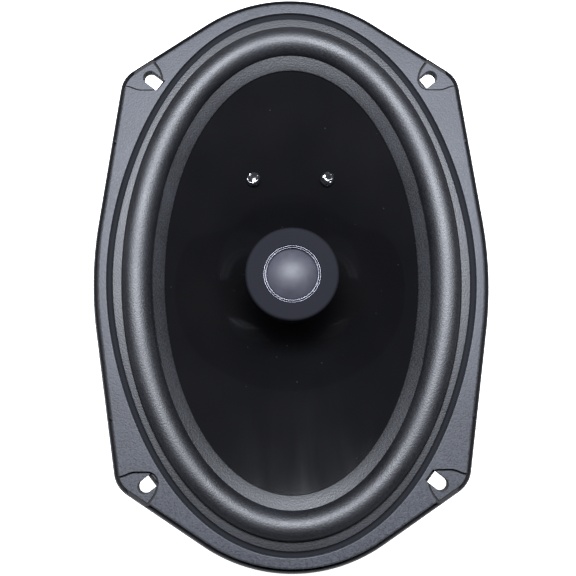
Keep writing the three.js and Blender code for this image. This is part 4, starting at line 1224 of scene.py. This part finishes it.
def terminals():
    half = BLOCK_WIDTH / 2
    deep = BLOCK_DEPTH / 2
    block = box_body("terminal_block_body", (BLOCK_X - half, BLOCK_X + half),
                     (BLOCK_Y - deep, BLOCK_Y + deep), (BLOCK_BOTTOM, SHELF_BOTTOM), 0.8)
    wall = box_body("wall", (BLOCK_X - 0.7, BLOCK_X + 0.7), (BLOCK_Y + deep - 0.5, TAB_OUTER - 4),
                    (BLOCK_BOTTOM + 1, SHELF_BOTTOM - 1), 0.3)
    cut(join(block, wall), *tab_openings(), *rivet_openings())
    finish_piece(block, NYLON, "frame", ["terminal_block"], 30)
    for word, (x, width) in TABS.items():
        outline_points = [
            (TAB_Y, TAB_HEIGHT), (TAB_OUTER - 1.5, TAB_HEIGHT), (TAB_OUTER, TAB_HEIGHT + TAB_THICKNESS / 2),
            (TAB_OUTER - 1.5, TAB_HEIGHT + TAB_THICKNESS),
            (TAB_Y + TAB_THICKNESS, TAB_HEIGHT + TAB_THICKNESS), (TAB_Y + TAB_THICKNESS, TAB_TOP),
            (TAB_Y, TAB_TOP)]
        blade = plate(f"terminal_tab_{word}_blade", outline_points, width, 0.18, math.pi / 2, 0)
        shift(blade, x)
        hole = pin("hole", 0.9, TAB_HEIGHT - 1, TAB_HEIGHT + 2, x, TAB_OUTER - 5)
        finish_piece(cut(blade, hole), BRASS, "frame", [f"terminal_tab_{word}"], 30)
    for number, x in enumerate(RIVET_XS, 1):
        rivet = turned_cap("rivet", [
            (0, BLOCK_BOTTOM - 0.8), (RIVET_HEAD - 0.4, BLOCK_BOTTOM - 0.8), (RIVET_HEAD, BLOCK_BOTTOM),
            (RIVET_SHANK, BLOCK_BOTTOM), (RIVET_SHANK, SHELF_TOP), (RIVET_HEAD, SHELF_TOP),
            (RIVET_HEAD - 0.5, SHELF_TOP + 0.9), (0, SHELF_TOP + 1.1)],
            [0, 0.3, 0.1, 0, 0, 0.1, 0.4, 0], 4, 40)
        rivet.name = f"terminal_rivet_{number}_body"
        finish_piece(shift(rivet, x, BLOCK_Y), BRASS, "frame", [f"terminal_rivet_{number}"], 40)


def capacitor():
    """Capacitor in a shrunk sleeve, with its crimp, on its side under the shelf."""
    length = CAP_TO - CAP_FROM
    body = turned_cap("capacitor_can", [
        (0, 0), (CAP_RADIUS - 0.8, 0), (CAP_RADIUS, 0.8), (CAP_RADIUS, length - 2.6),
        (CAP_RADIUS - 0.5, length - 2.1), (CAP_RADIUS, length - 1.6), (CAP_RADIUS, length - 0.5),
        (CAP_RADIUS - 1.2, length), (CAP_RADIUS - 1.6, length - 0.3), (0, length - 0.3)],
        [0, 0.6, 0.4, 0.5, 0.5, 0.5, 0.3, 0.3, 0.2, 0], 4, 96)
    co = vertices(body)
    laid = np.column_stack([co[:, 0], co[:, 2], co[:, 1]])
    set_vertices(body, laid)
    body.data.flip_normals()
    shift(body, CAP_X, CAP_FROM, CAP_Z)
    finish_piece(body, SLEEVE, "frame", ["crossover_capacitor"], 40)
    tab = TABS["positive"][0] + TABS["positive"][1] / 2
    path = smooth_path([
        (CAP_X, CAP_TO + 0.3, CAP_Z), (CAP_X, CAP_TO + 2.2, CAP_Z), (CAP_X - 4, CAP_TO + 3.4, CAP_Z + 0.5),
        (tab + 4, CAP_TO, TAB_HEIGHT), (tab + 1.5, CAP_TO - 1.5, TAB_HEIGHT + 0.4),
        (tab + 0.3, CAP_TO - 1.5, TAB_HEIGHT + 0.4)], 0.4)
    lead = tube("capacitor_lead_wire", path, WIRE_RADIUS)
    finish_piece(lead, TINNED, "frame", ["capacitor_lead"], 50)


def wire_through_post(x):
    """The stretch that both tweeter wires share: down the magnet, along the groove, up the post."""
    beside = MAGNET_RADIUS + 1.4
    low = GROOVE_DEPTH / 2
    return [(x, beside + 2.5, 30), (x, beside + 1.3, 26), (x, beside, 20), (x, beside, 5),
            (x, beside - 1.2, 1.7), (x, beside - 4, low), (x, 30, low), (x, 15, low), (x, 4, low),
            (x, 1, low + 1.2), (x, 0, low + 5),
            (x, 0, 30), (x, 0, 55), (x, 0, 79.4)]


def tweeter_wires():
    positive = [
        (CAP_X, CAP_FROM - 0.3, CAP_Z), (CAP_X, CAP_FROM - 0.9, CAP_Z - 0.8),
        (CAP_X - 1, CAP_FROM - 1, CAP_Z - 5), (CAP_X - 7, CAP_FROM - 1, CAP_Z - 8), *wire_through_post(0.9)]
    x = TABS["negative"][0]
    negative = [
        (x, 65.5, TAB_HEIGHT - 0.3 - WIRE_RADIUS), (x, 64, TAB_HEIGHT - 2.2),
        (x + 1, 63.6, BLOCK_BOTTOM - 0.5), (x + 3, 60, BLOCK_BOTTOM - 3), (x + 8, 52, BLOCK_BOTTOM - 5),
        *wire_through_post(-0.9)]
    for word, points, material in (("positive", positive, WIRE_RED), ("negative", negative, WIRE_BLACK)):
        wire = tube(f"tweeter_wire_{word}_insulation", smooth_path(points, 0.5), WIRE_RADIUS)
        finish_piece(wire, material, "frame", [f"tweeter_wire_{word}"], 60)


# ---------- tweeter ----------

def tweeter_post():
    seat = POLE_TOP
    post = turned("post_body", [
        (POST_INNER, POST_BOTTOM), (POST_OUTER, POST_BOTTOM), (POST_OUTER, seat), (POST_COLLAR_RADIUS, seat),
        (POST_COLLAR_RADIUS, seat + 1.9), (POST_COLLAR_RADIUS - 2, seat + 2.5), (POST_OUTER, seat + 5.5),
        (POST_OUTER, POST_TOP), (POST_INNER, POST_TOP)], [0.3, 0.3, 0, 0.3, 0.5, 1.0, 2.0, 0.3, 0.3], 4, 96)
    finish_piece(post, NYLON, "frame", ["tweeter_post"])


def tweeter_shells():
    sleeve = POST_OUTER + 0.1
    rear = BACK_CAP_BOTTOM + 4
    radius = BEZEL_RADIUS
    cap = turned("back_cap_shell", [
        (sleeve, rear - 4), (sleeve + 2, rear - 4), (sleeve + 2.6, rear), (radius - 5, rear),
        (radius - 1.2, rear + 2.6), (radius - 0.9, rear + 5), (radius - 0.9 - BEZEL_WALL, rear + 5),
        (radius - 2.6, rear + 3.2),
        (radius - 5.6, rear + BEZEL_WALL), (sleeve, rear + BEZEL_WALL)],
        [0.3, 0.5, 1.0, 2.5, 1.2, 0.2, 0.2, 1, 1, 0.2], 4, 128)
    finish_piece(cap, SHELL, "frame", ["tweeter_back_cap"])
    face = BEZEL_TOP + 0.2
    bezel = turned("bezel_shell", [
        (radius - 0.7, BEZEL_BOTTOM), (radius, face - 1.1), (radius - 0.7, face - 0.22),
        (radius - 2.5, face - 0.25), (MOUTH + 0.2, face - 0.5), (MOUTH, face - 0.8), (MOUTH, face - 1.5),
        (MOUTH + 1, face - 2.1),
        (radius - BEZEL_WALL, face - 2), (radius - 0.7 - BEZEL_WALL, BEZEL_BOTTOM)],
        [0.2, 0.5, 0.5, 1.2, 0.1, 0.12, 0.2, 0.3, 0.4, 0.2], 5, 192)
    finish_piece(bezel, SHELL, "frame", ["tweeter_bezel"])
    inner, outer = TRIM_RADIUS - 0.95, TRIM_RADIUS
    trim = turned("trim_ring_body", [
        (inner, TRIM_BOTTOM), (outer, TRIM_BOTTOM), (outer, TRIM_TOP - 0.02), (outer - 0.16, TRIM_TOP),
        (outer - 0.18, TRIM_TOP - 0.7), (inner + 0.18, TRIM_TOP - 0.7), (inner + 0.16, TRIM_TOP),
        (inner, TRIM_TOP - 0.02)], 0.06, 3, 192)
    finish_piece(trim, TRIM, "frame", ["tweeter_trim_ring"], 50)
    # painted shade: a matt near-black filler between the ring's two ridges, where the gap is dark only from
    # shade
    gap = turned("trim_ring_gap_painted_shade", [
        (inner + 0.2, TRIM_TOP - 0.69), (outer - 0.2, TRIM_TOP - 0.69), (outer - 0.2, TRIM_TOP - 0.4),
        (inner + 0.2, TRIM_TOP - 0.4)], 0.02, 1, 192)
    finish_piece(gap, SEALANT_AND_PAINTED_SHADE, "frame", (), 60)


def tweeter_motor():
    outer, inner = TWEETER_YOKE_OUTER, TWEETER_YOKE_INNER
    _, rear, top = turned_size("tweeter_yoke")
    cup = turned_cap("tweeter_cup", [
        (0, rear), (outer - 0.6, rear), (outer, rear + 0.6), (outer, top), (inner, top),
        (inner, rear + TWEETER_YOKE_FLOOR), (0, rear + TWEETER_YOKE_FLOOR)], 0.2, 3, 96)
    finish_piece(cup, ZINC, "frame", ["tweeter_yoke"])
    for node, name, material in (
            ("tweeter_magnet", "tweeter_magnet_disc", NEODYMIUM),
            ("tweeter_pole_plate", "tweeter_pole_disc", ZINC)):
        radius, bottom, high = turned_size(node)
        disc = turned_cap(name, [(0, bottom), (radius, bottom), (radius, high), (0, high)], 0.2, 3, 96)
        finish_piece(disc, material, "frame", [node])


def dome_height(r):
    rise = DOME_TOP - DOME_EDGE - DOME_FILM
    sphere = (DOME_RADIUS ** 2 + rise ** 2) / (2 * rise)
    return DOME_EDGE + DOME_FILM + rise - sphere + math.sqrt(sphere ** 2 - r ** 2)


def tweeter_dome():
    radii = np.linspace(0, DOME_RADIUS, 28)
    outside = [(r, dome_height(r)) for r in radii]
    inside = [(r, dome_height(r) - DOME_FILM) for r in radii]
    dome = turned_cap("dome_film", inside + outside[::-1], 0.0, 1, 128)
    finish_piece(dome, SILK, "tweeter", ["tweeter_dome"], 60)
    inner, clamp = DOME_RADIUS + 0.01, MOUTH + 1.4
    steps = 20
    above = []
    for k in range(steps + 1):
        share = k / steps
        bulge = 0.35 * math.sin(min(share * (clamp - inner) / 1.3, 1) * math.pi)
        above.append((inner + (clamp - inner) * share, DOME_EDGE + DOME_FILM + bulge - 0.4 * share))
    below = [(r, z - DOME_FILM) for r, z in above]
    roll = turned("dome_roll_film", below + above[::-1], 0.0, 1, 128)
    finish_piece(roll, SILK, None, ["tweeter_dome_roll"], 60)
    co = vertices(roll)
    share = (np.hypot(co[:, 0], co[:, 1]) / MM - inner) / (MOUTH - inner)
    blend_rows(roll)
    for node, name, material, thick in (
            ("tweeter_former", "tweeter_former_sleeve", FOIL, 0.2),
            ("tweeter_coil", "tweeter_winding", COPPER, 0.45)):
        radius, bottom, top = turned_size(node)
        inside = radius - thick
        ring = turned(name, [(inside, bottom), (radius, bottom), (radius, top), (inside, top)], 0.04, 2, 96)
        finish_piece(ring, material, "tweeter", [node])


# ---------- camera, floor and light ----------

def camera():
    data = bpy.data.cameras.new("camera")
    data.lens = CAMERA_LENS
    made = bpy.data.objects.new("camera", data)
    made.location = CAMERA_PLACE
    made.rotation_euler = CAMERA_TURN
    bpy.context.scene.collection.objects.link(made)
    bpy.context.scene.camera = made


def floor():
    size = FLOOR_HALF_SIZE
    mesh = bpy.data.meshes.new("floor")
    corners = [(-size, -size, 0), (size, -size, 0), (size, size, 0), (-size, size, 0)]
    mesh.from_pydata(corners, [], [(0, 1, 2, 3)])
    made = bpy.data.objects.new("floor", mesh)
    bpy.context.scene.collection.objects.link(made)
    n = Nodes("floor")
    n.set(color=(0.92, 0.92, 0.92), roughness=0.8, specular=0.2)
    n.shader.inputs["Emission Color"].default_value = (1, 1, 1, 1)
    n.shader.inputs["Emission Strength"].default_value = 1.0
    mesh.materials.append(n.material)


def area_light(name, place, target, size, power):
    data = bpy.data.lights.new(name, "AREA")
    data.shape = "RECTANGLE"
    data.size, data.size_y = size
    data.energy = power
    data.color = LAMP_COLOR
    made = bpy.data.objects.new(name, data)
    made.location = place
    made.rotation_euler = (Vector(target) - Vector(place)).to_track_quat("-Z", "Y").to_euler()
    made.visible_camera = False
    bpy.context.scene.collection.objects.link(made)


def lights():
    world = bpy.data.worlds.new("studio")
    world.use_nodes = True
    background = world.node_tree.nodes["Background"]
    background.inputs["Color"].default_value = (0.55, 0.58, 0.65, 1)
    background.inputs["Strength"].default_value = 0.14
    bpy.context.scene.world = world
    top = (0, 0, FLANGE_FRONT * MM)
    area_light("key", (-0.005, LAMP_Y, LAMP_HEIGHT), top, (0.12, 0.10), 2.6)
    area_light("strip", (0, LAMP_Y, LAMP_HEIGHT), top, (0.46, 0.10), 5.6)


camera()
floor()
lights()
bpy.context.scene.view_settings.view_transform = "Standard"

basket()
groove_sealant_and_painted_shade()
motor()
for number, (x, y) in enumerate(screw_places(), 1):
    basket_screw(number, x, y)
cone()
lead_joint(-1, "negative")
lead_joint(1, "positive")
voice_coil()
glue_beads()
surround()
spider()
tinsel_lead(-1, "negative")
tinsel_lead(1, "positive")
terminals()
capacitor()
tweeter_wires()
tweeter_post()
tweeter_shells()
tweeter_motor()
tweeter_dome()
